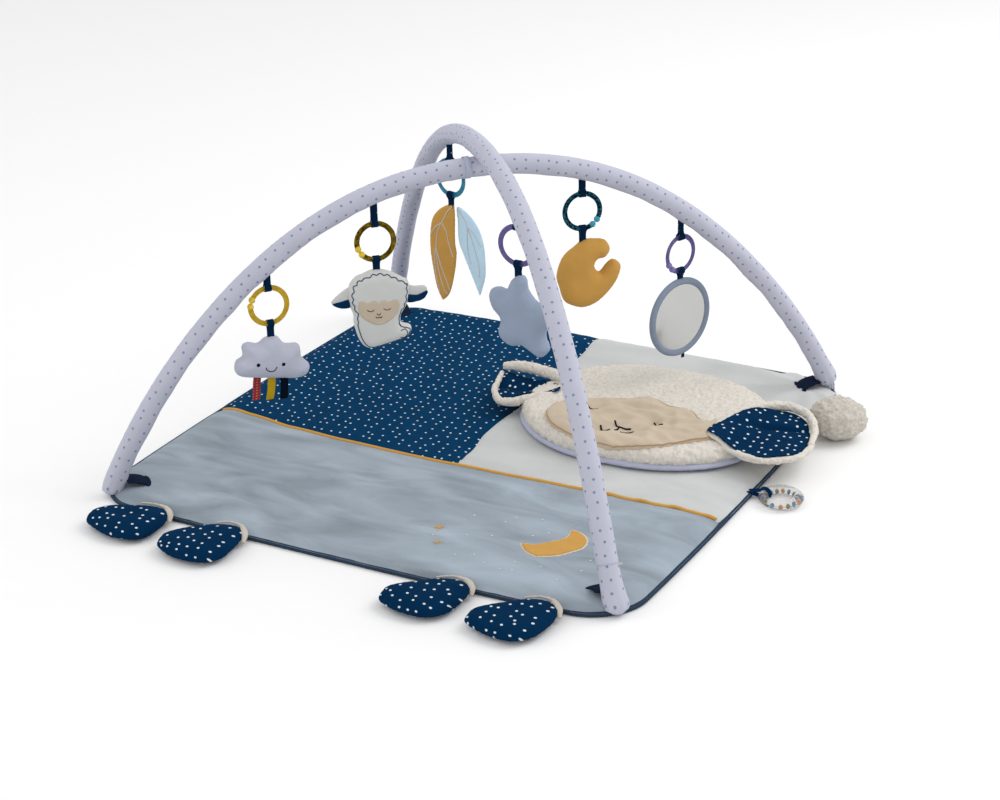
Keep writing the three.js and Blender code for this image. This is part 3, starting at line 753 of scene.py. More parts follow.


# %% [markdown]
# ## The mat
# Three pieces of velour and cotton are quilted onto the wadding. Each one is puffed up in its middle and
# drawn down to the binding and to the seams, with shallow creases that run across it and small puckers
# along the binding. The seam to the front panel waves a little, and so does the one between the back two.

# %% The mat's height
MAT_HALF = 0.450
MAT_CORNER = 0.078
SEAM_WAVE = [
    (-450, -97), (-380, -104), (-300, -117), (-200, -124), (-60, -129), (120, -126), (300, -122), (450, -118),
]
MIDDLE_WAVE = [(-130, 16), (-77, 11), (0, -1), (95, 0), (263, 0), (347, -8), (450, -16)]
BULGE = 0.010
BINDING_LAP = 0.0035
EDGE_Z = 0.0066
PUFF = 0.0117
SEAM_DEPTH = 0.0045
MIDDLE_SEAM_DEPTH = 0.0032
PLEATS_AT = 0.396
STRAP_PULL_AT = 0.392


def along_table(table, x):
    """The value at x in a table of points in millimetres, eased between them."""
    x /= MM
    for (x0, y0), (x1, y1) in zip(table, table[1:]):
        if x <= x1:
            t = max(0, (x - x0) / (x1 - x0))
            return (y0 + (y1 - y0) * t * t * (3 - 2 * t)) * MM
    return table[-1][1] * MM


def seam_at(x):
    return along_table(SEAM_WAVE, x)


def middle_at(y):
    return along_table(MIDDLE_WAVE, y)


def mat_edge_distance(x, y):
    """How far inside the mat's rounded square a point lies."""
    over_x, over_y = abs(x) - (MAT_HALF - MAT_CORNER), abs(y) - (MAT_HALF - MAT_CORNER)
    if over_x > 0 and over_y > 0:
        return MAT_CORNER - math.hypot(over_x, over_y)
    return min(MAT_HALF - abs(x), MAT_HALF - abs(y))


def bulged(x, y):
    """The mat's sides belly outward between its corners, and this moves a point of the square with them."""
    across, along = x / MAT_HALF, y / MAT_HALF
    return (
        x + BULGE * across * abs(across) ** 5 * (1 - min(1, abs(along)) ** 2.5),
        y + BULGE * along * abs(along) ** 5 * (1 - min(1, abs(across)) ** 2.5),
    )


def mat_top(x, y):
    """The height of the quilted top: drawn down at its seams, then creased, puckered and pleated."""
    edge = max(0, mat_edge_distance(x, y) - BINDING_LAP)
    z = EDGE_Z + PUFF * (1 - fading(edge, 0.015))
    z -= SEAM_DEPTH * fading(abs(y - seam_at(x)), 0.008)
    if y > -0.11:
        z -= MIDDLE_SEAM_DEPTH * fading(abs(x - middle_at(y)), 0.006)
    creases = noise.noise(Vector((x * 4.0 + y * 2.2, y * 11.0 - x * 1.6, 3.1)))
    folds = noise.noise(Vector((x * 16 - y * 6, y * 22 + x * 5, 8.4)))
    z += min(1, edge / 0.05) * (0.0026 * creases + 0.0011 * folds)
    pucker = noise.noise(Vector((x * 45, y * 45, 1.7)))
    z += 0.0016 * pucker * fading(edge, 0.022) * min(1, edge / 0.004)
    z += 0.0045 * hump(edge - 0.035, 0.03) * max(0, min(1, (y - x - 0.1) / 0.4))
    around = math.atan2(y - PLEATS_AT, x - PLEATS_AT)
    from_pleats = math.hypot(x - PLEATS_AT, y - PLEATS_AT) - 0.07
    z += 0.0028 * math.sin(around * 9) * hump(from_pleats, 0.04)
    return z - 0.003 * hump(math.hypot(abs(x) - STRAP_PULL_AT, abs(y) - STRAP_PULL_AT), 0.028)


# %% Mat panels
UNDER_BINDING = 0.4488
PANEL_CORNER = 0.0762
PANEL_FRONT = -0.125
PANEL_BACK = 0.44


def outer_limit(x):
    """How far forward or back a panel reaches at x, with the mat's corners rounded."""
    over = abs(x) - (UNDER_BINDING - PANEL_CORNER)
    if over <= 0:
        return UNDER_BINDING
    return UNDER_BINDING - PANEL_CORNER + math.sqrt(max(0, PANEL_CORNER**2 - over**2))


def front_limit(x):
    return -outer_limit(x)


def left_limit(y):
    return -UNDER_BINDING


def right_limit(y):
    return UNDER_BINDING


def panel(name, left, right, front, back, columns, rows):
    """A quilted panel. left and right are functions of y, and front and back are functions of x."""

    def place(u, v):
        guess = PANEL_FRONT + (PANEL_BACK - PANEL_FRONT) * v
        side_a, side_b = left(guess), right(guess)
        x = side_a + (side_b - side_a) * (0.5 * u + 0.25 - 0.25 * math.cos(math.pi * u))
        y = front(x) + (back(x) - front(x)) * v
        return Vector((*bulged(x, y), mat_top(x, y)))

    return lattice(name, columns, rows, place, (0.9, 0.6))


front_panel = panel("front_panel", left_limit, right_limit, front_limit, seam_at, 190, 75)
dress(front_panel, "mat", "grey_velour", "grey_velour", "mat_top_grey_velour")
navy_panel = panel("navy_panel", left_limit, middle_at, seam_at, outer_limit, 110, 120)
dress(navy_panel, "mat", "navy_mat", "navy_dotted_cotton", "mat_top_navy_dotted")
white_panel = panel("white_panel", middle_at, right_limit, seam_at, outer_limit, 110, 120)
dress(white_panel, "mat", "white_velour", "white_velour", "mat_top_white_velour")
mat_surface = surface_of(front_panel, navy_panel, white_panel)
print("mat panels, middle height", round(mat_top(0.2, -0.3) / MM, 1), "mm")


# %% Binding, underside and piping
BINDING_HALF_WIDTH = 0.0034
BINDING_HALF_HEIGHT = 0.0036
BINDING_CLEARANCE = 0.0004
UNDERSIDE_INSET = 0.006
UNDERSIDE_Z = 0.0003
UNDERSIDE_HEIGHT = 0.0055
PIPING_RADIUS = 0.0032
PIPING_HALF_LENGTH = 0.438


def rounded_square(half, corner, steps=14):
    line = []
    for quarter in range(4):
        centre = Matrix.Rotation(quarter * math.pi / 2, 2) @ Vector((half - corner, half - corner))
        for k in range(steps + 1):
            angle = (quarter + k / steps) * math.pi / 2
            line.append(centre + Vector((math.cos(angle), math.sin(angle))) * corner)
    return line


def edge_path(inset, z, step=0.006):
    corners = rounded_square(MAT_HALF - inset, MAT_CORNER - inset)
    line = []
    for a, b in zip(corners, corners[1:] + corners[:1]):
        parts = max(1, round((b - a).length / step))
        line += [a.lerp(b, k / parts) for k in range(parts)]
    return [Vector((*bulged(p.x, p.y), z)) for p in line]


binding_path = edge_path(BINDING_HALF_WIDTH + BINDING_CLEARANCE, BINDING_HALF_HEIGHT + BINDING_CLEARANCE)


def binding_place(u, v):
    count = len(binding_path)
    i = round(u * count) % count
    point = binding_path[i]
    tangent = (binding_path[(i + 1) % count] - binding_path[i - 1]).normalized()
    outward = tangent.cross(Vector((0, 0, 1)))
    angle = math.tau * v
    ripple = 1 + 0.07 * noise.noise(Vector((point.x * 60, point.y * 60, 2 * math.cos(angle))))
    flat = abs(math.cos(angle)) ** 0.75 * math.copysign(1, math.cos(angle))
    high = abs(math.sin(angle)) ** 0.75 * math.copysign(1, math.sin(angle))
    return point + outward * flat * BINDING_HALF_WIDTH * ripple + Vector((0, 0, high * BINDING_HALF_HEIGHT))


binding = lattice("edge_binding", len(binding_path), 14, binding_place, (3.4, 0.036))
dress(binding, "mat", "binding", "slate_binding", "mat_edge_binding")

underside_bm = extruded(edge_path(UNDERSIDE_INSET, 0, 0.02), UNDERSIDE_Z, UNDERSIDE_HEIGHT)
underside = new_object("mat_underside", underside_bm, smooth=False)
dress(underside, "mat", "underside", "slate_binding", "mat_backing", "mat_wadding")

seam_points = []
for k in range(221):
    x = -PIPING_HALF_LENGTH + 2 * PIPING_HALF_LENGTH * k / 220
    wobble = 0.0020 * math.sin(x * 120) * min(1, max(0, (x - 0.22) / 0.1))
    y = seam_at(x) + wobble
    seam_points.append(Vector((*bulged(x, y), mat_top(x, y) + 0.0010)))
piping = tube("seam_cord", seam_points, PIPING_RADIUS, sides=10)
dress(piping, "mat", "piping", "mustard_fabric", "seam_piping")
print("binding of", len(binding_path), "steps, and", round(path_length(seam_points), 3), "m of piping")

# %% Appliques and prints on the front panel
MOON_PATCH = in_mm([
    (229, -320), (245, -339), (266, -348), (282, -342), (296, -331), (308, -313), (317, -295), (312, -273),
    (294, -257), (277, -254), (282, -274), (275, -289), (262, -304), (248, -317),
])
STARS = [(100, -331, 17), (122, -375, 12)]
PRINT_LIFT = 0.0005
PRINTED_DOTS = [
    (127, -273), (187, -254), (179, -273), (225, -244), (105, -358), (149, -335), (182, -320), (251, -275),
    (234, -292), (162, -394), (187, -383), (211, -398), (240, -405), (257, -400), (249, -377), (289, -374),
    (326, -397), (343, -326), (346, -361),
]

moon_line = rounded_loop(MOON_PATCH, 0.003, sharp=(0, 9))
edging = patch("moon_patch_edging", mat_surface, swollen(moon_line, 0.0022), DOWN, 0.0002, thick=0.0008)
dress(edging, "mat", "white_edging", "sherpa")
moon_patch = patch("moon_patch", mat_surface, moon_line, DOWN, 0.0009, thick=0.0012)
dress(moon_patch, "mat", "mustard", "mustard_fabric", "moon_applique")


def star_outline(x, y, reach, turn=0.3):
    line = []
    for k in range(16):
        r = reach * (0.16 if k % 2 else 1.0 if k % 4 == 0 else 0.62)
        angle = turn + math.pi / 8 * k
        line.append(Vector((x + r * math.cos(angle), y + r * math.sin(angle))) * MM)
    return line


def dot_outline(x, y, reach=1.7, sides=12):
    turns = [math.tau * k / sides for k in range(sides)]
    return [Vector((x + reach * math.cos(a), y + reach * math.sin(a))) * MM for a in turns]


def printed(name, outlines, lift):
    """Thin flat shapes on the mat, all in one piece: printed shapes, and the painted shade at each corner
    slit.
    """
    bm = bmesh.new()
    for line in outlines:
        bm.faces.new([bm.verts.new(under(mat_surface, p) + Vector((0, 0, lift))) for p in line])
    bmesh.ops.recalc_face_normals(bm, faces=bm.faces)
    return new_object(name, bm, smooth=False)


stars = printed("printed_stars", [star_outline(*s) for s in STARS], PRINT_LIFT)
dress(stars, "mat", "mustard", "mustard_fabric")
dots = printed("printed_dots", [dot_outline(*d) for d in PRINTED_DOTS], PRINT_LIFT)
dress(dots, "mat", "white_edging", "sherpa")
print(len(STARS), "stars and", len(PRINTED_DOTS), "dots on the front panel")

# %% [markdown]
# ## The arches
# Two padded sleeves cross high over the mat. The cotton is wrinkled where it is pushed along the rod: at
# the crossing, under the shoulders and at the feet, where each sleeve ends in a gathered, rounded toe.

# %% Arch sleeves
FOOT_REACH = 0.600
FOOT_Z = 0.0114
SLEEVE = 0.015
KICK_REACH = 0.035
TOE_DROP = Vector((0, 0, -0.007))
ARCHES = {
    "arch_ac": {"direction": 45, "rise": 0.4504, "toes": (1.08, 1.14), "kick": Vector((0, 0, 0))},
    "arch_bd": {"direction": 135, "rise": 0.4810, "toes": (1.16, 1.30), "kick": Vector((0.0050, 0.0030, 0))},
}


def arch_point(arch, t):
    r = FOOT_REACH * math.sin(math.pi * (t - 0.5))
    z = FOOT_Z + arch["rise"] * max(0, 1 - abs(r / FOOT_REACH) ** 2.18) ** 0.87
    angle = math.radians(arch["direction"])
    return Vector((r * math.cos(angle), r * math.sin(angle), z))


def evenly(path, count):
    """The same path with its points evenly spaced, so that a print on it keeps its size."""
    run = [0.0]
    for a, b in zip(path, path[1:]):
        run.append(run[-1] + (b - a).length)
    spaced, i = [], 0
    for k in range(count + 1):
        at = run[-1] * k / count
        while run[i + 1] < at and i < len(path) - 2:
            i += 1
        spaced.append(path[i].lerp(path[i + 1], (at - run[i]) / (run[i + 1] - run[i])))
    return spaced


def sleeve_path(arch, count=300):
    path = evenly([arch_point(arch, k / 900) for k in range(901)], count)
    step = path_length(path) / count
    return [p + arch["kick"] * fading(k * step, KICK_REACH) for k, p in enumerate(path)]


for name, arch in ARCHES.items():
    path = sleeve_path(arch)
    length = path_length(path)
    start_toe, end_toe = arch["toes"]

    def radius(s, angle, length=length, start_toe=start_toe, end_toe=end_toe, seed=arch["rise"] * 100):
        from_foot, toe = (s, start_toe) if s < length / 2 else (length - s, end_toe)
        middle = abs(s - length / 2)
        around = Vector((math.cos(angle), math.sin(angle), 0))
        rings = noise.noise(around * 0.7 + Vector((seed, 0, s / 0.009)))
        slack = noise.noise(around * 1.1 + Vector((0, seed, s / 0.05)))
        gathered = fading(from_foot, 0.035) + 1.5 * hump(middle - 0.03, 0.028)
        below = max(0, -math.sin(angle))
        r = SLEEVE * (1.01 + 0.012 * rings + 0.02 * slack + (0.05 * gathered + 0.02 * below) * rings)
        r += 0.0026 * below**1.5 * (0.55 + 0.8 * slack) * min(1, from_foot / 0.08)
        r *= 1 + (toe - 1) * hump(from_foot - 0.014, 0.022)
        r += 0.0014 * math.sin(angle * 11 + 3 * slack) * fading(from_foot, 0.016)
        return r * (0.55 + 0.45 * round_edge(max(0, from_foot), 0.009))

    turned = math.radians(arch["direction"])
    path = [path[0] + TOE_DROP] + path + [path[-1] + TOE_DROP]
    flat_side = Vector((-math.sin(turned), math.cos(turned), 0))
    sleeve = tube(name + "_cloth", path, radius, sides=40, first_side=flat_side)
    dress(sleeve, name, "sleeve", "lavender_cotton", name + "_sleeve", name + "_rod")
    print(name, "sleeve", round(length, 3), "m along")

# %% Seam and tag on the front right foot
# The sleeve is closed by a seam a little way up from its toe, with a small woven tag in it.
foot_path = sleeve_path(ARCHES["arch_bd"])
SEAM_AT = 11
SEAM_RADIUS = 0.0157
foot_point, foot_side, foot_other = framed(foot_path)[SEAM_AT]
foot_ring = [
    foot_point + (foot_side * math.cos(a) + foot_other * math.sin(a)) * SEAM_RADIUS
    for a in (math.tau * k / 40 for k in range(40))
]
dress(tube("foot_seam", foot_ring, 0.0006, sides=8, closed=True), "arch_bd", "lavender", "lavender_cotton")
tag_out = Vector((math.cos(CAMERA_AZIMUTH), math.sin(CAMERA_AZIMUTH), 0))
tag_path = [foot_point + tag_out * (0.0140 + 0.0015 * k) for k in range(5)]
tag = tape("foot_tag", tag_path, foot_path[SEAM_AT + 1] - foot_path[SEAM_AT - 1], 0.0035, 0.0008)
dress(tag, "arch_bd", "cream", "sherpa")

# %% The tie at the crossing
TIE_RADIUS = 0.0165
TIE_WIDTH = 0.0090
TIE_THICKNESS = 0.0010
tie_low, tie_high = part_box("crossing_tie")
tie_centre = (tie_low + tie_high) / 2
arch_along = Vector((1, 1, 0)).normalized()
arch_side = Vector((1, -1, 0)).normalized()
tie_path = [
    tie_centre + (arch_side * math.cos(a) + Vector((0, 0, 1)) * math.sin(a)) * TIE_RADIUS
    for a in (math.tau * k / 48 for k in range(49))
]
tie = tape("crossing_tie_cloth", tie_path, arch_along, TIE_WIDTH, TIE_THICKNESS)
dress(tie, "arch_ac", "lavender", "lavender_cotton", "crossing_tie")
print("tie", round(path_length(tie_path), 3), "m round the crossing")

# %% Corner straps
# Each corner's webbing comes up out of a slit in the velour and leans out to the foot of its arch. Its
# rise is given as distances from the mat's centre and heights. The slit is no hole: a flat shape in the
# webbing's navy lies on the velour there, painted shade standing for the opening.
STRAP_RISE = [(0.5430, 0.0100), (0.5480, 0.0160), (0.5550, 0.0205), (0.5650, 0.0235), (0.5780, 0.0255)]
STRAP_WIDTH = 0.034
STRAP_THICKNESS = 0.0018
SLIT_AT = 0.5470
SLIT_HALF = (0.0060, 0.021)
for letter, angle in zip("abcd", (225, 315, 45, 135)):
    out = Vector((math.cos(math.radians(angle)), math.sin(math.radians(angle)), 0))
    side = Vector((-out.y, out.x, 0))
    path = smooth_run([out * r + Vector((0, 0, z)) for r, z in STRAP_RISE], 0.003)
    strap = tape("corner_webbing_" + letter, path, side, STRAP_WIDTH, STRAP_THICKNESS)
    dress(strap, "mat", "navy_webbing", "navy_webbing", "corner_strap_" + letter)
    # Painted shade: a flat dark shape in the webbing's own navy lies over each slit's opening.
    mouth = []
    for k in range(20):
        a = math.tau * k / 20
        spot = out * (SLIT_AT + SLIT_HALF[0] * math.sin(a)) + side * SLIT_HALF[1] * math.cos(a)
        mouth.append(Vector((spot.x, spot.y)))
    dress(printed("corner_slit_shade_" + letter, [mouth], 0.0004), "mat", "navy_webbing", "navy_webbing")
print("straps rise to", STRAP_RISE[-1][1] / MM, "mm")

# %% [markdown]
# ## Links and hanging straps
# Every toy hangs on an open plastic ring with a ball on each tip. One dotted tape loop holds the ring to
# the arch, and another holds the toy to the ring. Each toy is drawn facing forward, with the ring's
# centre at its origin, and is then turned to the way it hangs.

# %% Toy places
# A ring's gap and how far a toy hangs side-on are in degrees. A ring's height over the floor is in
# millimetres, and lean is how steeply a toy's outline is tipped down to its right.
TOY_FACTS = ("plastic", "arch", "gap", "ring_height", "lean", "side_on")
TOYS = {
    "cloud": ("yellow_plastic", "arch_ac", 164, 278.5, 0.10, 12),
    "sheep": ("yellow_plastic", "arch_ac", 210, 360.5, 0.07, 4),
    "moon": ("teal_plastic", "arch_ac", 316, 370, 0.05, 16),
    "mirror": ("purple_plastic", "arch_ac", 220, 0, 0.0, 0),
    "leaves": ("teal_plastic", "arch_bd", 150, 390.5, 0.0, 43),
    "star": ("purple_plastic", "arch_bd", 30, 396, 0.0, 30),
}
TOYS = {name: dict(zip(TOY_FACTS, facts)) for name, facts in TOYS.items()}
JOINTS = {j["name"]: j for j in frame["joints"]}
for name, toy in TOYS.items():
    along = Vector(JOINTS[name + "_link_swing"]["axis"])
    facing = Vector(JOINTS[name + "_strap_slide"]["axis"])
    spin = Matrix((along, -facing, Vector((0, 0, 1)))).transposed().to_4x4()
    toy["place"] = Matrix.Translation(JOINTS[name + "_strap_slide"]["pos_m"]) @ spin
    toy["facing"] = facing
    toy["along"] = along
STAND = Matrix.Rotation(math.pi / 2, 4, "X")

# %% Link rings
LINK_RADIUS = 0.02875
LINK_WIRE = 0.0042
LINK_TIP = 0.0051
LINK_GAP = math.radians(21)
LOOP_RADIUS = 0.0055
TAPE_WIDTH = 0.0110
TAPE_THICKNESS = 0.0011
UPRIGHT = Matrix.Rotation(math.pi / 2, 3, "X")


def link_ring(name, toy):
    gap = math.radians(toy["gap"])
    start, sweep = gap + LINK_GAP / 2, math.tau - LINK_GAP
    bm = bmesh.new()
    section = bmesh.ops.create_circle(bm, segments=20, radius=LINK_WIRE)
    bmesh.ops.translate(bm, verts=section["verts"], vec=(LINK_RADIUS, 0, 0))
    bmesh.ops.rotate(bm, verts=section["verts"], matrix=UPRIGHT, cent=(0, 0, 0))
    bmesh.ops.rotate(bm, verts=section["verts"], matrix=Matrix.Rotation(-start, 3, "Y"), cent=(0, 0, 0))
    wire = bm.verts[:] + bm.edges[:]
    bmesh.ops.spin(
        bm, geom=wire, cent=(0, 0, 0), axis=(0, -1, 0), angle=sweep, steps=72, use_merge=False
    )
    for angle in (start, start + sweep):
        tip = Matrix.Translation(Vector((math.cos(angle), 0, math.sin(angle))) * LINK_RADIUS)
        bmesh.ops.create_uvsphere(bm, u_segments=20, v_segments=14, radius=LINK_TIP, matrix=tip)
    for vert in bm.verts:
        around = math.atan2(vert.co.z, vert.co.x)
        vert.co.y *= 1 + 0.05 * math.cos(12 * around)
    bmesh.ops.transform(bm, matrix=toy["place"], verts=bm.verts)
    bmesh.ops.recalc_face_normals(bm, faces=bm.faces)
    ring = new_object(name + "_link", bm)
    return dress(ring, name + "_link", toy["plastic"], toy["plastic"], name + "_ring")


def hanging_loop(name, toy, wire_z, far_z, width):
    """A tape that goes round the ring's wire and back to far_z, doubled."""
    up = 1 if far_z > wire_z else -1
    pinch = 0.0012
    points = [Vector((0, -pinch, far_z)), Vector((0, -pinch, wire_z + up * LOOP_RADIUS * 1.7))]
    for k in range(13):
        angle = math.radians(35 + 290 * k / 12)
        across, rise = LOOP_RADIUS * math.sin(angle), LOOP_RADIUS * math.cos(angle)
        points.append(Vector((0, -across, wire_z + up * rise)))
    points += [Vector((0, pinch, wire_z + up * LOOP_RADIUS * 1.7)), Vector((0, pinch, far_z))]
    path = [toy["place"] @ p for p in smooth_run(points, 0.002)]
    return tape(name, path, toy["along"], width, TAPE_THICKNESS)


for name, toy in TOYS.items():
    link_ring(name, toy)
    middle = toy["place"].translation.z
    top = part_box(name + "_upper_strap")[1].z - middle
    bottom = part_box(name + "_lower_strap")[0].z - middle
    upper = hanging_loop(name + "_upper_tape", toy, LINK_RADIUS, top + 0.001, TAPE_WIDTH)
    dress(upper, toy["arch"], "navy_tape", "navy_webbing", name + "_upper_strap")
    lower = hanging_loop(name + "_lower_tape", toy, -LINK_RADIUS, bottom - 0.004, TAPE_WIDTH)
    dress(lower, name + "_toy", "navy_tape", "navy_webbing", name + "_lower_strap")
print("links and tapes done")

# %% [markdown]
# ## Hanging toys
# The cloud, the sheep, the moon and the star are stuffed, and the two leaves are thin felted ones. Their
# outlines are points round the seam: across, and up from the floor. A toy that hangs partly side-on is
# wider than it seems, so its outline is spread by that much first.

# %% Toy outlines
def toy_flat(toy, x, z):
    """A point of a toy's outline, in metres across and up from the centre of its ring."""
    widened = 1 / math.cos(math.radians(toy["side_on"]))
    return x * widened * MM, (z - toy["lean"] * x - toy["ring_height"]) * MM


def toy_outline(toy, points, sharp=(), step=0.0015):
    return rounded_loop([toy_flat(toy, x, z) for x, z in points], step, sharp)


def toy_point(toy, x, z, depth=-0.06):
    across, up = toy_flat(toy, x, z)
    return toy["place"] @ Vector((across, depth, up))


CLOUD = [
    (-59, 186), (-59, 175), (-51, 167), (-29, 163), (13, 159), (31, 157), (48, 160), (56, 170), (56, 180),
    (45, 192), (44, 204), (40, 214), (20, 216), (10, 228), (0, 229), (-10, 227), (-21, 219), (-36, 222),
    (-46, 216), (-46, 200), (-55, 194),
]
SHEEP = [
    (-46, 285), (-47, 271), (-45, 258), (-40, 244), (-40, 232), (-38, 220), (-33, 203), (-25, 191),
    (-14, 187), (2, 190), (24, 196), (42, 202), (50, 213), (49, 222), (35, 227), (34, 234), (35, 241),
    (44, 256), (48, 273), (49, 294), (42, 300), (20, 312), (4, 316), (-9, 315), (-21, 310), (-32, 306),
    (-42, 296),
]
MOON = [
    (2, 323), (-14, 311), (-26, 302), (-35, 289), (-42, 265), (-38, 247), (-31, 224), (-19, 215), (-2, 210),
    (15, 214), (30, 224), (49, 245), (58, 263), (60, 278), (49, 287), (38, 280), (29, 269), (23, 269),
    (18, 279), (23, 289), (35, 292), (43, 305), (37, 319), (24, 323),
]
STAR = [
    (3, 351), (-8, 343), (-17, 325), (-28, 327), (-39, 322), (-42, 309), (-37, 292), (-26, 278), (-29, 259),
    (-24, 245), (-10, 237), (4, 241), (14, 236), (31, 227), (41, 236), (43, 243), (38, 256), (39, 269),
    (48, 285), (47, 302), (39, 311), (25, 313), (14, 328), (11, 345),
]
LEAF_MUSTARD = [
    (0, 346), (-18, 334), (-31, 315), (-36, 290), (-37, 260), (-34, 230), (-28, 194), (-19, 174), (-7, 191),
    (2, 229), (6, 263), (4, 283), (5, 338),
]
LEAF_BLUE = [
    (5, 341), (23, 333), (38, 314), (46, 288), (48, 258), (47, 232), (38, 197), (28, 223), (14, 259),
    (6, 283), (5, 318),
]
MIRROR_CENTRE_Z = -0.108


def stuffed_toy(key, points, most, shoulder, material, slot, lump=0.0008):
    """A stuffed toy, which rides its own body and stands for its own cushion."""
    toy = TOYS[key]
    line, turn = toy_outline(toy, points), toy["place"] @ STAND
    body = cushion(key + "_toy", line, filled(most, shoulder), 0.0019, turn=turn, lump=lump)
    dress(body, key + "_toy", material, slot, key + "_cushion")
    return body


# %% Cloud
cloud = stuffed_toy("cloud", CLOUD, 0.0165, 0.024, "cloud", "cloud_fabric")
cloud_front = surface_of(cloud)
toy = TOYS["cloud"]


def sewn(name, toy, surface, points, width, lift=0.0002):
    """A line of thread on a toy's front."""
    return stitch(name, surface, [toy_point(toy, x, z) for x, z in points], -toy["facing"], width, lift)


def button_eye(name, x, z, size=0.006):
    """A dark button on the cloud's front, flattened against it."""
    hit = laid(cloud_front, [toy_point(toy, x, z)], -toy["facing"], 0)[0]
    bm = bmesh.new()
    bmesh.ops.create_uvsphere(bm, u_segments=16, v_segments=10, radius=size / 2)
    bmesh.ops.scale(bm, vec=(1, 0.3, 1), verts=bm.verts)
    turn = toy["place"].to_3x3().to_4x4()
    bmesh.ops.transform(bm, matrix=Matrix.Translation(hit) @ turn, verts=bm.verts)
    return dress(new_object(name, bm), "cloud_toy", "thread", "ribbon_navy")


button_eye("cloud_eye_left", -27, 189)
button_eye("cloud_eye_right", 12, 187)
SMILE = [(-16, 184), (-13, 178.5), (-7, 176), (-2, 178), (1.5, 183.5)]
dress(sewn("cloud_smile", toy, cloud_front, SMILE, 0.0007), "cloud_toy", "thread", "ribbon_navy")

# Each ribbon is given as its top and its bottom end.
RIBBONS = {"red": (-24, 162, -31, 127), "yellow": (-3, 160, -9, 125), "navy": (16, 159, 13, 124)}
RIBBON_WIDTH = 0.0125
RIBBON_THICKNESS = 0.0011
for tint, (x0, z0, x1, z1) in RIBBONS.items():
    run = []
    for k in range(9):
        t = k / 8
        x, z = x0 + (x1 - x0) * t, z0 + 4 + (z1 - z0 - 4) * t
        depth = 0.003 * math.sin(t * 3.0 + x0) - 0.002 * t
        run.append(toy_point(toy, x, z, depth))
    ribbon = tape("cloud_ribbon_" + tint + "_cloth", run, toy["along"], RIBBON_WIDTH, RIBBON_THICKNESS)
    dress(ribbon, "cloud_toy", "ribbon_" + tint, "ribbon_" + tint, "cloud_ribbon_" + tint)
    path_length(run)
    print(tint, "ribbon", round(path_length(run) / MM, 1), "mm long")

# %% Sheep
# A navy stitched line runs a few millimetres inside its seam, in scallops round the woolly head.
M["sheep"] = velour("sheep_knit", colour(208, 209, 206), stroke=20.0, contrast=0.08)
M["navy_thread"] = cotton("navy_thread", colour(18, 58, 92), thread=0.0008, uneven=0.15)
sheep = stuffed_toy("sheep", SHEEP, 0.0135, 0.016, "sheep", "sheep_fabric")
sheep_front = surface_of(sheep)


def scalloped(outline, inset, depth, pitch, from_z):
    """A line inside an outline, drawn in scallops wherever the outline is higher than from_z."""
    line, run = [], 0.0
    for i, p in enumerate(outline):
        run += (p - outline[i - 1]).length if i else 0
        along = (outline[(i + 1) % len(outline)] - outline[i - 1]).normalized()
        share = min(1, max(0, (p.y - from_z) / 0.006))
        into = inset + depth * share * (1 - abs(math.sin(math.pi * run / pitch)))
        line.append(p - Vector((along.y, -along.x)) * into)
    return line


toy = TOYS["sheep"]
seam_line = scalloped(toy_outline(toy, SHEEP), 0.0042, 0.0030, 0.0135, -0.128)
sheep_line = [toy["place"] @ Vector((p.x, -0.06, p.y)) for p in seam_line[::2]]
sheep_line = laid(sheep_front, sheep_line, -toy["facing"], 0.0002)
obj = tube("sheep_scalloped_line", sheep_line, 0.0008, sides=8, closed=True)
dress(obj, "sheep_toy", "navy_thread", "navy_dotted_cotton")
SHEEP_FACE = [
    (-33, 268), (-34, 252), (-26, 240), (-4, 229), (18, 238), (29, 252), (30, 266), (23, 270), (15, 266),
    (6, 270), (-2, 266), (-10, 270), (-18, 266), (-26, 270),
]
face_line = toy_outline(toy, SHEEP_FACE)
face_turn = toy["place"] @ Matrix.Translation((0, -0.04, 0)) @ STAND
obj = patch("sheep_face_patch", sheep_front, face_line, -toy["facing"], 0.0005, face_turn, 0.0018, 0.0006)
dress(obj, "sheep_toy", "face", "face_velour")
for name, points in {
    "sheep_eye_left": [(-21, 255), (-18, 252.6), (-15, 252.2), (-12, 253), (-10, 255)],
    "sheep_eye_right": [(5, 256), (8, 253.8), (11, 253.4), (14, 254), (16, 256)],
    "sheep_nose": [(-6, 248.5), (-3, 245.5), (0, 248.5)],
    "sheep_mouth": [(-8, 243.5), (-6, 241), (-3, 242.5), (0, 241.2), (2, 243.7)],
}.items():
    obj = sewn(name, toy, sheep_front, points, 0.0006, lift=0.0011)
    dress(obj, "sheep_toy", "thread", "ribbon_navy")
SHEEP_TAIL = [(30, 206), (37, 205), (42, 212), (38, 219), (31, 217)]
dress(sewn("sheep_tail_line", toy, sheep_front, SHEEP_TAIL, 0.0006), "sheep_toy", "thread", "ribbon_navy")
SHEEP_EARS = {
    "left": [(-42, 288), (-58, 280), (-72, 267), (-72, 262), (-60, 260), (-44, 266)],
    "right": [(44, 288), (58, 285), (74, 285), (79, 277), (70, 270), (57, 266), (44, 268)],
}
SHEEP_EAR_LININGS = {
    "left": [(-44, 269), (-60, 266), (-72, 263), (-66, 258), (-55, 255), (-44, 257)],
    "right": [(45, 272), (62, 271), (79, 277), (73, 265), (60, 260), (45, 260)],
}
for part, shapes, tone, slot_name, shift in (
    ("top", SHEEP_EARS, "sheep", "sheep_fabric", 0.0012),
    ("lining", SHEEP_EAR_LININGS, "navy_cord", "navy_dotted_cotton", -0.0018),
):
    for side, points in shapes.items():
        turn = toy["place"] @ Matrix.Translation((0, shift, 0)) @ STAND
        line = toy_outline(toy, points)
        ear = cushion(f"sheep_ear_{side}_{part}", line, filled(0.0028, 0.006), 0.0014, turn=turn, pucker=0)
        dress(ear, "sheep_toy", tone, slot_name)

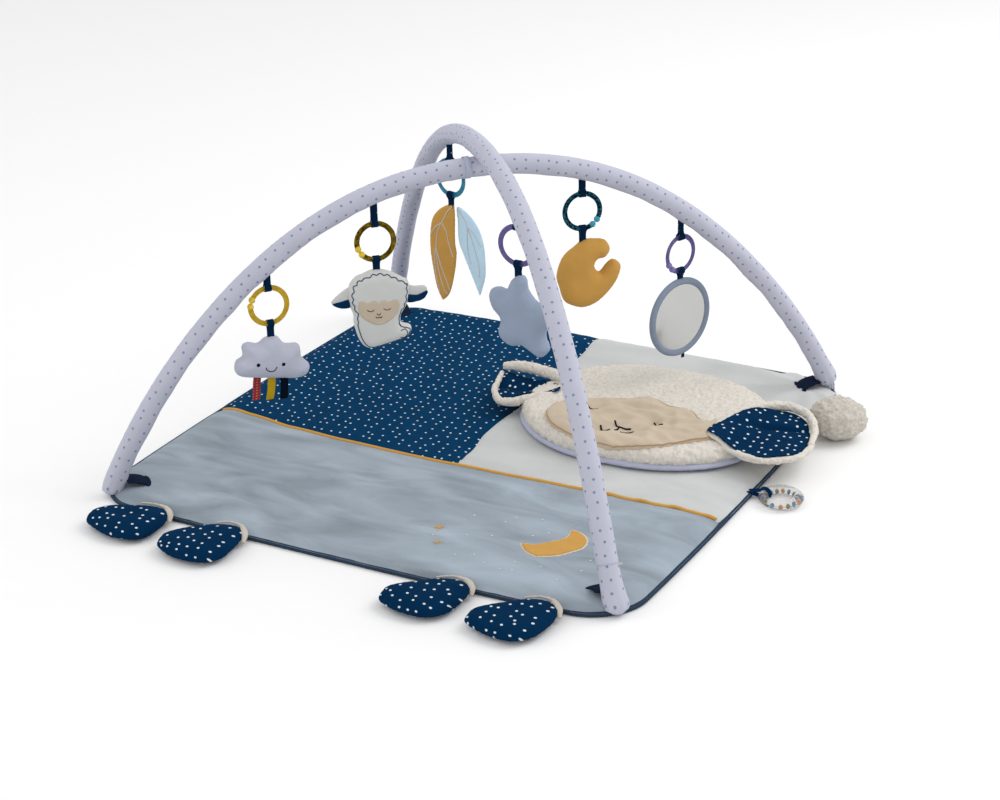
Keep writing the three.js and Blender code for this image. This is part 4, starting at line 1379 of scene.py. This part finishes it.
# %% Moon, star and leaves
# Each leaf comes to a point at one index of its outline.
stuffed_toy("moon", MOON, 0.0155, 0.020, "mustard", "mustard_fabric", lump=0.001)
stuffed_toy("star", STAR, 0.0175, 0.022, "star", "star_fabric", lump=0.0015)
toy = TOYS["leaves"]
leaf_fronts = {}
for name, points, tip, body, material, slot, node, depth in (
    ("mustard_leaf", LEAF_MUSTARD, 7, "leaves_toy", "mustard", "mustard_fabric", "leaf_mustard", 0.0),
    ("blue_leaf", LEAF_BLUE, 6, "leaf_blue", "leaf_blue", "blue_leaf_fabric", "leaf_blue", 0.0070),
):
    turn = toy["place"] @ Matrix.Translation((0, depth, 0)) @ STAND
    line = toy_outline(toy, points, sharp=(tip,))
    leaf = cushion(name, line, filled(0.0024, 0.006), 0.0016, turn=turn)
    dress(leaf, body, material, slot, node)
    leaf_fronts[name] = surface_of(leaf)

VEINS = {
    "mustard_leaf": [
        [(3, 343), (-6, 331), (-14, 313), (-17, 309)],
        [(-17, 309), (-27, 299), (-34, 285)],
        [(-17, 309), (-24, 285), (-26, 255), (-22, 222), (-15, 196), (-10, 188)],
        [(-15, 311), (-8, 297), (-5, 280), (2, 256)],
        [(-25, 272), (-29, 248), (-27, 215), (-22, 187)],
        [(-26, 262), (-19, 236), (-9, 208), (-6, 196)],
    ],
    "blue_leaf": [
        [(8, 338), (18, 322), (22, 311)],
        [(22, 311), (32, 303), (43, 284)],
        [(22, 311), (21, 292), (22, 270), (26, 250)],
        [(23, 309), (31, 284), (38, 255), (40, 230)],
    ],
}
for name, runs in VEINS.items():
    body = "leaves_toy" if name == "mustard_leaf" else "leaf_blue"
    for number, points in enumerate(runs, 1):
        vein = sewn(f"{name}_vein_{number}", toy, leaf_fronts[name], points, 0.0008)
        dress(vein, body, "vein", "blue_leaf_fabric")
print("cloud, sheep, moon, star and leaves")

# %% Mirror
toy = TOYS["mirror"]
RIM_OUTER, RIM_INNER = 0.0655, 0.0555
RIM_STEPS = 120
RIM_ACROSS = 0.0058
RIM_DEEP = 0.0048
mirror_middle = Vector((0, 0, MIRROR_CENTRE_Z))
rim_path = []
for k in range(RIM_STEPS):
    a = math.tau * k / RIM_STEPS
    spoke = Vector((math.cos(a), 0, math.sin(a))) * (RIM_OUTER + RIM_INNER) / 2
    rim_path.append(toy["place"] @ (spoke + mirror_middle))


def rim_place(u, v):
    i = round(u * RIM_STEPS) % RIM_STEPS
    point = rim_path[i]
    outward = (point - toy["place"] @ mirror_middle).normalized()
    angle = math.tau * v
    pleat = 1 + 0.035 * math.sin(i * 2.6)
    return point + outward * math.cos(angle) * RIM_ACROSS + toy["facing"] * math.sin(angle) * RIM_DEEP * pleat


def mirror_disc(name, radius, depth, behind=0.0):
    """A round flat piece within the mirror's rim."""
    bm = bmesh.new()
    bmesh.ops.create_cone(bm, cap_ends=True, segments=96, radius1=radius, radius2=radius, depth=depth)
    place = toy["place"] @ Matrix.Translation((0, behind, MIRROR_CENTRE_Z)) @ STAND
    bmesh.ops.transform(bm, matrix=place, verts=bm.verts)
    return new_object(name, bm, smooth=False)


rim = lattice("mirror_frame", RIM_STEPS, 16, rim_place, (0.38, 0.034))
dress(rim, "mirror_toy", "rim", "mirror_rim_fabric", "mirror_rim")
M["mirror"], tree, shader = finish("mirror_film", 0.16, Metallic=0.85)
film = hazy(tree, shader, colour(190, 191, 189), 14.0, 2.0, 0.94, 1.04)
raise_bump(tree, shader, film, distance=0.004, strength=0.35)
film_disc = mirror_disc("mirror_film_disc", RIM_INNER + 0.003, 0.003)
dress(film_disc, "mirror_toy", "mirror", "mirror_film", "mirror_disc")
back_cloth = mirror_disc("mirror_back_cloth", RIM_INNER + 0.004, 0.0015, behind=0.0032)
dress(back_cloth, "mirror_toy", "rim", "mirror_rim_fabric")
tab = [toy["place"] @ Vector((0.008, 0, MIRROR_CENTRE_Z - 0.064 - 0.003 * k)) for k in range(4)]
dress(tape("mirror_tab", tab, toy["along"], 0.007, 0.0012), "mirror_toy", "navy_tape", "navy_webbing")
print("mirror", 2 * RIM_OUTER / MM, "mm across")

# %% [markdown]
# ## The lamb's head, hooves and tail
# The head is a big cushion lying on the mat: curly fleece all round, with a smooth quilted face in front.
# Its ears lie out to the sides, lined with the navy dotted cotton. The fleece is a dense mesh with real
# lumps, and the finer curls are in its material, with painted shade in the gaps between them.

# %% Head cushion
HEAD_OUTLINE = in_mm([
    (15, 112), (22, 80), (38, 49), (66, 18), (96, -6), (130, -23), (164, -33), (202, -37), (239, -36),
    (278, -32), (312, -24), (344, -10), (372, 8), (396, 32), (412, 60), (422, 112), (420, 170), (404, 218),
    (370, 254), (330, 281), (284, 295), (238, 300), (190, 300), (142, 293), (108, 276), (80, 254), (56, 226),
    (32, 180),
])
HEAD_MIDDLE_Z = 0.0365
HEAD_HALF = 0.0185
HEAD_LUMPS = (0.0024, 0.0085)


def fleece_lumps(obj, amount, size):
    """Raises the curled tufts as real lumps, along each point's own normal."""
    moves = []
    for vert in obj.data.vertices:
        at = vert.co / size
        tuft = noise.noise(at) + 0.6 * noise.noise(at * 2.1) + 0.3 * noise.noise(at * 4.3)
        moves.append(vert.co + vert.normal * amount * tuft)
    for vert, place in zip(obj.data.vertices, moves):
        vert.co = place
    obj.data.update()


def head_height(d, x, y):
    rise = HEAD_HALF * (0.25 + 0.75 * round_edge(d, 0.05))
    rise += 0.0095 * hump(x - 0.22, 0.15) * hump(y - 0.21, 0.07)
    rise -= 0.004 * hump(x - 0.22, 0.12) * hump(y - 0.04, 0.07)
    return rise + 0.0020 * hump(d - 0.014, 0.011) * min(1, max(0, (0.10 - y) / 0.05))


head = cushion(
    "head_fleece_body", rounded_loop(HEAD_OUTLINE, 0.004), head_height, 0.004, pucker=0.001,
    turn=Matrix.Translation((0, 0, HEAD_MIDDLE_Z)),
)
refine = head.modifiers.new("finer", "SUBSURF")
refine.subdivision_type = "SIMPLE"
refine.levels = refine.render_levels = 1
bpy.context.view_layer.update()
fine = bpy.data.meshes.new_from_object(head.evaluated_get(bpy.context.evaluated_depsgraph_get()))
head.modifiers.clear()
head.data = fine
smooth_head = surface_of(head)
fleece_lumps(head, *HEAD_LUMPS)
dress(head, "head_cushion", "sherpa", "sherpa", "head_back", "head_fleece")
below = cushion(
    "head_underside", swollen(rounded_loop(HEAD_OUTLINE, 0.004), 0.0035), filled(0.0062, 0.012), 0.004,
    turn=Matrix.Translation((0, 0, 0.0255)),
)
dress(below, "head_cushion", "lavender", "lavender_cotton")
print("head", len(head.data.vertices), "points")

# %% Face pad
FACE_OUTLINE = in_mm([
    (89, 60), (91, 29), (118, -4), (161, -25), (200, -33), (248, -31), (300, -12), (336, 22), (366, 52),
    (356, 84), (353, 114), (338, 102), (324, 106), (306, 124), (287, 130), (262, 130), (232, 143), (206, 138),
    (183, 123), (158, 118), (133, 103), (104, 88),
])
FACE_DIMPLES = in_mm([(153, 73), (200, 15), (220, 26), (241, 15), (270, 63)])
FACE_Z = 0.054
face_loop = rounded_loop(FACE_OUTLINE, 0.003)


def face_height(d, x, y):
    rise = 0.0012 + 0.0072 * round_edge(d, 0.014)
    fold = noise.noise(Vector((x * 26 + y * 18, y * 44 - x * 12, 0.4)))
    quilting = (0.5 - abs(fold) * 2.2) + 0.5 * noise.noise(Vector((x, y, 0.9)) / 0.014)
    dimples = sum(math.exp(-((x - a) ** 2 + (y - b) ** 2) / 0.00020) for a, b in FACE_DIMPLES)
    return rise + (0.0056 * quilting - 0.0065 * min(1, dimples)) * min(1, d / 0.012)


face = cushion("face_pad", face_loop, face_height, 0.003, pucker=0.0007)
for vert in face.data.vertices:
    beside = Vector((vert.co.x, vert.co.y, 0.05))
    droop = (under(smooth_head, vert.co) or smooth_head.find_nearest(beside)[0]).z
    vert.co.z += 0.75 * droop + 0.25 * FACE_Z
dress(face, "head_cushion", "face", "face_velour", "head_face")
face_surface = surface_of(face)
rim = [under(face_surface, p) for p in swollen(face_loop[::-1], 0.0018)[::2]]
rim = [p for p in rim if p]
M["face_seam"] = cotton("face_seam_thread", colour(176, 146, 112), thread=0.0009, uneven=0.2)
dress(tube("face_seam_line", rim, 0.0011, sides=8, closed=True), "head_cushion", "face_seam", "face_velour")
FACE_MARKS = {
    "eye_left": [(140, 79), (147, 73), (155, 72), (162, 76)],
    "eye_right": [(262, 70), (267, 63), (274, 60), (281, 61)],
    "nose": [(208, 40), (214, 32), (222, 27), (232, 27), (240, 31)],
    "muzzle": [(222, 27), (222, 19), (221, 12)],
    "mouth_left": [(193, 20), (198, 12), (206, 9), (213, 12)],
    "mouth_right": [(230, 14), (238, 10), (246, 13), (251, 19)],
}
for name, points in FACE_MARKS.items():
    line = [Vector((x * MM, y * MM, 0.2)) for x, y in points]
    obj = stitch("face_" + name, face_surface, line, DOWN, 0.0015)
    dress(obj, "head_cushion", "thread", "ribbon_navy")
print("face with", len(FACE_MARKS), "stitched marks")

# %% Ears
# Each ear is a fleece shape with a dotted lining. The right one lies open, and the left one is folded
# lengthwise, so its lining shows as a dark band between two fleece rolls.
EARS = {
    "right": {
        "outline": [
            (350, 62), (360, 122), (382, 178), (424, 216), (470, 202), (500, 152), (513, 96), (503, 50),
            (462, 24), (404, 34), (366, 50),
        ],
        "lining": [
            (358, 66), (372, 125), (396, 173), (430, 204), (464, 190), (490, 145), (503, 94), (494, 58),
            (455, 33), (402, 42), (370, 56),
        ],
        "rolls": [
            [
                (352, 62, 50, 5), (361, 118, 56, 8), (384, 174, 59, 8.5), (426, 211, 58, 8),
                (470, 196, 57, 6.5), (499, 150, 55, 5.5), (511, 100, 52, 4.5),
            ],
            [(512, 104, 51, 4), (505, 56, 49, 4.5), (464, 28, 47, 4.5), (404, 38, 48, 4.5), (356, 58, 49, 4)],
        ],
        "middle": 0.044,
        "climb": (0.430, 0.375, 0.0150),
        "lining_under": -0.004,
    },
    "left": {
        "outline": [
            (-60, 172), (-52, 140), (-38, 96), (-12, 58), (18, 62), (27, 90), (29, 126), (26, 160), (0, 174),
        ],
        "lining": [
            (-52, 160), (-44, 136), (-33, 100), (-9, 68), (12, 84), (24, 96), (27, 126), (24, 154), (0, 160),
        ],
        "rolls": [
            [(-58, 168, 58, 6), (-30, 171, 61, 9), (-5, 170, 62, 9.5), (26, 165, 62, 9.5)],
            [(-56, 158, 50, 4), (-48, 130, 48, 4.5), (-36, 94, 47, 5), (-8, 60, 46, 6), (24, 68, 48, 7)],
        ],
        "middle": 0.040,
        "climb": (0.010, 0.080, 0.0090),
        "lining_under": 0.004,
    },
}
LINING_LIFT = 0.0066
ROLL_LUMPS = (0.0014, 0.006)


def ear_height(d, x, y):
    return 0.0016 + 0.0042 * min(1, d / 0.01)


def lining_height(d, x, y):
    return 0.0012


def ear_rise(key, x, y):
    """How high an ear's middle lies over the mat. A crease runs out along each ear from the head."""
    across = (y - 0.104 - 0.46 * (x - 0.363)) / 0.009 if key == "right" else (y - 0.124 - 0.12 * x) / 0.016
    outer, inner, climb = EARS[key]["climb"]
    onto_head = min(1, max(0, (x - outer) / (inner - outer)))
    rise = EARS[key]["middle"] + climb * onto_head**2 * (3 - 2 * onto_head)
    return rise - 0.0095 * (1 - 0.9 * onto_head) * hump(across, 1) + 0.002 * math.sin(x * 40 + y * 25)


def lift_like_ear(piece, key, more=0.0):
    for vert in piece.data.vertices:
        vert.co.z += ear_rise(key, vert.co.x, vert.co.y) + more


def ear_roll(name, points):
    """A fleece roll along points, each given with its own radius."""
    run = smooth_run([Vector(p[:3]) * MM for p in points], 0.0016)
    whole = path_length(run)

    def roll_radius(s, angle):
        at = min(s / whole, 0.9999) * (len(points) - 1)
        i = int(at)
        return (points[i][3] + (points[i + 1][3] - points[i][3]) * (at - i)) * MM

    roll = tube(name, run, roll_radius, sides=28)
    fleece_lumps(roll, *ROLL_LUMPS)
    return roll


for key, shape in EARS.items():
    ear_line = rounded_loop(in_mm(shape["outline"]), 0.003)
    ear = cushion(f"ear_{key}_fleece", ear_line, ear_height, 0.003, pucker=0)
    lift_like_ear(ear, key)
    dress(ear, "ear_" + key, "sherpa", "sherpa", "ear_" + key)
    lining_line = swollen(rounded_loop(in_mm(shape["lining"]), 0.003), shape["lining_under"])
    lining = cushion(f"ear_{key}_dotted_lining", lining_line, lining_height, 0.003)
    lift_like_ear(lining, key, LINING_LIFT)
    dress(lining, "ear_" + key, "navy_hoof", "navy_dotted_cotton", f"ear_{key}_lining")
    for number, points in enumerate(shape["rolls"], 1):
        dress(ear_roll(f"ear_{key}_roll_{number}", points), "ear_" + key, "sherpa", "sherpa")
    print(key, "ear with", len(shape["rolls"]), "rolls")

# %% Root of the left ear
# Where the left ear is sewn down, its upper and lower rolls and its lining run on over the head.
EAR_ROOT_ROLLS = [
    [(8, 168, 61, 8.5), (46, 161, 62, 9.3), (72, 146, 61, 7.5), (82, 140, 60, 4)],
    [(10, 62, 46, 6), (30, 80, 49, 6.5), (46, 100, 51, 5.5), (66, 108, 52, 3)],
]
EAR_ROOT_LINING = in_mm([(16, 88), (42, 104), (72, 110), (62, 140), (40, 152), (16, 156)])
EAR_ROOT_LIFT = 0.0110


def root_height(d, x, y):
    return 0.0010


for number, points in enumerate(EAR_ROOT_ROLLS, 1):
    dress(ear_roll(f"ear_left_root_{number}", points), "head_cushion", "sherpa", "sherpa")
root = cushion("ear_left_root_lining", rounded_loop(EAR_ROOT_LINING, 0.003), root_height, 0.003)
lift_like_ear(root, "left", EAR_ROOT_LIFT)
dress(root, "head_cushion", "navy_hoof", "navy_dotted_cotton")

# %% Hooves
HOOVES = [
    [(-390, -532), (-398, -508), (-386, -486), (-364, -470), (-345, -456), (-325, -452), (-304, -453),
     (-290, -462), (-280, -492), (-281, -528), (-297, -545), (-329, -551), (-365, -543)],
    [(-248, -549), (-254, -524), (-242, -500), (-221, -478), (-204, -460), (-186, -452), (-166, -454),
     (-152, -466), (-144, -500), (-143, -535), (-158, -558), (-191, -565), (-222, -561)],
    [(126, -546), (122, -520), (136, -500), (156, -484), (172, -466), (192, -455), (212, -455), (226, -464),
     (232, -490), (230, -527), (218, -548), (194, -560), (156, -558)],
    [(262, -548), (260, -522), (276, -501), (296, -482), (310, -464), (328, -454), (347, -454), (362, -466),
     (370, -494), (366, -532), (354, -554), (334, -564), (296, -561)],
]
HOOF_Z = 0.0138
HOOF_PUFF = 0.0125
CUFF_HEIGHTS = (18, 19, 18, 15, 12, 8)


def hoof_height(d, x, y):
    back = max(0, min(1, (-MAT_HALF - y) / 0.035))
    return 0.0009 + HOOF_PUFF * (0.35 + 0.65 * back) * round_edge(d, 0.030)


for number, points in enumerate(HOOVES, 1):
    hoof = cushion(
        f"hoof_{number}_cushion", rounded_loop(in_mm(points), 0.002, sharp=(0,)), hoof_height, 0.0022,
        pucker=0.0008, lump=0.001, turn=Matrix.Translation((0, 0, HOOF_Z)),
    )
    dress(hoof, f"hoof_{number}", "navy_hoof", "navy_dotted_cotton", f"hoof_{number}")
    (x7, y7), (x8, y8) = points[7:9]
    turn_in = (x7 + 0.25 * (x8 - x7) + 3, y7 + 0.25 * (y8 - y7))
    heel_end = (x7 + 0.5 * (x8 - x7) + 3, y7 + 0.45 * (y8 - y7))
    heel = [*points[4:8], turn_in, heel_end]
    cuff = [Vector((x, y + 1.5, z)) * MM for (x, y), z in zip(heel, CUFF_HEIGHTS)]
    whole = path_length(cuff)

    def cuff_radius(s, angle, whole=whole):
        widest = hump(s / whole - 0.78, 0.24)
        return 0.0016 + 0.0040 * widest + 0.0005 * noise.noise(Vector((s / 0.005, math.cos(angle), 2)))

    dress(tube(f"hoof_{number}_cuff", smooth_run(cuff, 0.002), cuff_radius, 14), "mat", "cream", "sherpa")

# %% Tail
TAIL_LUMPS = (0.0032, 0.0105)
TAIL_REST_Z = 0.0005
low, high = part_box("tail_pompom")
centre, semi = (low + high) / 2, (high - low) / 2
bm = bmesh.new()
bmesh.ops.create_icosphere(bm, subdivisions=6, radius=1)
bmesh.ops.scale(bm, vec=semi * 0.985, verts=bm.verts)
bmesh.ops.translate(bm, vec=centre, verts=bm.verts)
tail = new_object("tail_fleece", bm)
fleece_lumps(tail, *TAIL_LUMPS)
for vert in tail.data.vertices:
    vert.co.z = max(vert.co.z, TAIL_REST_Z)
dress(tail, "tail", "tail", "sherpa", "tail_pompom")
print("head, hooves and tail done")

# %% [markdown]
# ## Rattle
# A clear ring with coloured beads inside it, on a short navy loop sewn into the mat's right edge.

# %% Rattle ring and beads
low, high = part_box("rattle_ring")
centre = (low + high) / 2
reach = max(high.x - low.x, high.y - low.y) / 2
wire = (high.z - low.z) / 2
major = reach - wire
M["clear"], tree, shader = finish("clear_plastic", 0.06, Transmission_Weight=0.92, IOR=1.2)
haze = hazy(tree, shader, colour(236, 236, 234), 160.0, 2.0, 0.97, 1.03)
raise_bump(tree, shader, haze, distance=0.0002, strength=0.2)


def wire_ring(name, wire, radius, sides):
    """A closed ring of wire, lying flat round the rattle's centre."""
    bm = bmesh.new()
    section = bmesh.ops.create_circle(bm, segments=sides, radius=wire)
    bmesh.ops.rotate(bm, verts=section["verts"], matrix=UPRIGHT, cent=(0, 0, 0))
    bmesh.ops.translate(bm, verts=section["verts"], vec=(radius, 0, 0))
    bmesh.ops.spin(
        bm, geom=bm.verts[:] + bm.edges[:], cent=(0, 0, 0), axis=(0, 0, 1), angle=math.tau, steps=72,
        use_merge=True,
    )
    bmesh.ops.remove_doubles(bm, verts=bm.verts, dist=1e-6)
    bmesh.ops.translate(bm, verts=bm.verts, vec=centre)
    bmesh.ops.recalc_face_normals(bm, faces=bm.faces)
    return new_object(name, bm)


dress(wire_ring("rattle_shell", wire, major, 24), "rattle_ring", "clear", "clear_plastic", "rattle_ring")
dress(wire_ring("rattle_seam", 0.0009, major + wire, 8), "rattle_ring", "clear", "clear_plastic")
M["orange_bead"] = plastic("orange_bead", colour(214, 140, 70))
M["blue_bead"] = plastic("blue_bead", colour(88, 134, 172))
M["olive_bead"] = plastic("olive_bead", colour(128, 120, 78))
BEADS = ["orange_bead", "blue_bead", "olive_bead", "blue_bead", "orange_bead", "olive_bead", "blue_bead"]
BEAD_COUNT = 14
BEAD_RADIUS = 0.0031
for tone in ("orange_bead", "blue_bead", "olive_bead"):
    bm = bmesh.new()
    for k in range(BEAD_COUNT):
        if BEADS[k % len(BEADS)] != tone:
            continue
        a = math.tau * k / BEAD_COUNT + 0.12 * math.sin(k * 7)
        sunk = -wire * 0.30 + 0.0008 * math.sin(k * 5)
        spot = Matrix.Translation(centre + Vector((math.cos(a) * major, math.sin(a) * major, sunk)))
        bmesh.ops.create_uvsphere(bm, u_segments=16, v_segments=10, radius=BEAD_RADIUS, matrix=spot)
    dress(new_object("rattle_" + tone + "s", bm), "rattle_ring", tone, "clear_plastic")
print("rattle ring", round(2 * reach / MM, 1), "mm across, with", BEAD_COUNT, "beads")

# %% Rattle cord
# Two strands leave the mat's edge, go round the ring's wire and come back under themselves.
CORD_RADIUS = 0.0017
CORD_TURN = 0.0090
wrap = Vector((centre.x - major, centre.y, centre.z))
for number, shift in ((1, -0.0028), (2, 0.0028)):
    points = [
        Vector((0.4470, centre.y + shift * 1.6, 0.0065)),
        Vector((0.4585, centre.y + shift * 1.4, 0.0105)),
    ]
    for k in range(11):
        a = math.radians(150 - 300 * k / 10)
        points.append(wrap + Vector((CORD_TURN * math.cos(a) - 0.0002, shift, CORD_TURN * math.sin(a))))
    points += [Vector((0.4585, centre.y + shift, 0.0060)), Vector((0.4470, centre.y + shift, 0.0045))]
    cord = tube(f"rattle_cord_{number}", smooth_run(points, 0.0015), CORD_RADIUS, sides=12)
    stands_for = ["rattle_loop"] if number == 1 else []
    dress(cord, "rattle_loop", "navy_cord", "navy_webbing", *stands_for)

# %% [markdown]
# ## Floor and size
# The gym stands on one wide pale plane, with only a trace of unevenness in its colour. The whole model is
# then measured, and its box is printed, to set beside the CAD box printed at the start.

# %% Floor and size
FLOOR_SIZE = 12
FLOOR_TONE = (0.92, 0.92, 0.92, 1)
bm = bmesh.new()
bmesh.ops.create_grid(bm, x_segments=1, y_segments=1, size=FLOOR_SIZE / 2)
floor = new_object("studio_floor", bm, smooth=False)
M["floor"], tree, shader = finish("pale_floor", 0.9)
hazy(tree, shader, FLOOR_TONE, 30.0, 2.0, 0.995, 1.005)
floor.data.materials.append(M["floor"])
floor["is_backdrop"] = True

visual_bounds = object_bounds()


def plain(box):
    return [[float(c) for c in corner] for corner in box]


{"cad": plain(cad_bounds), "visual": plain(visual_bounds)}
print("visual box", visual_bounds)
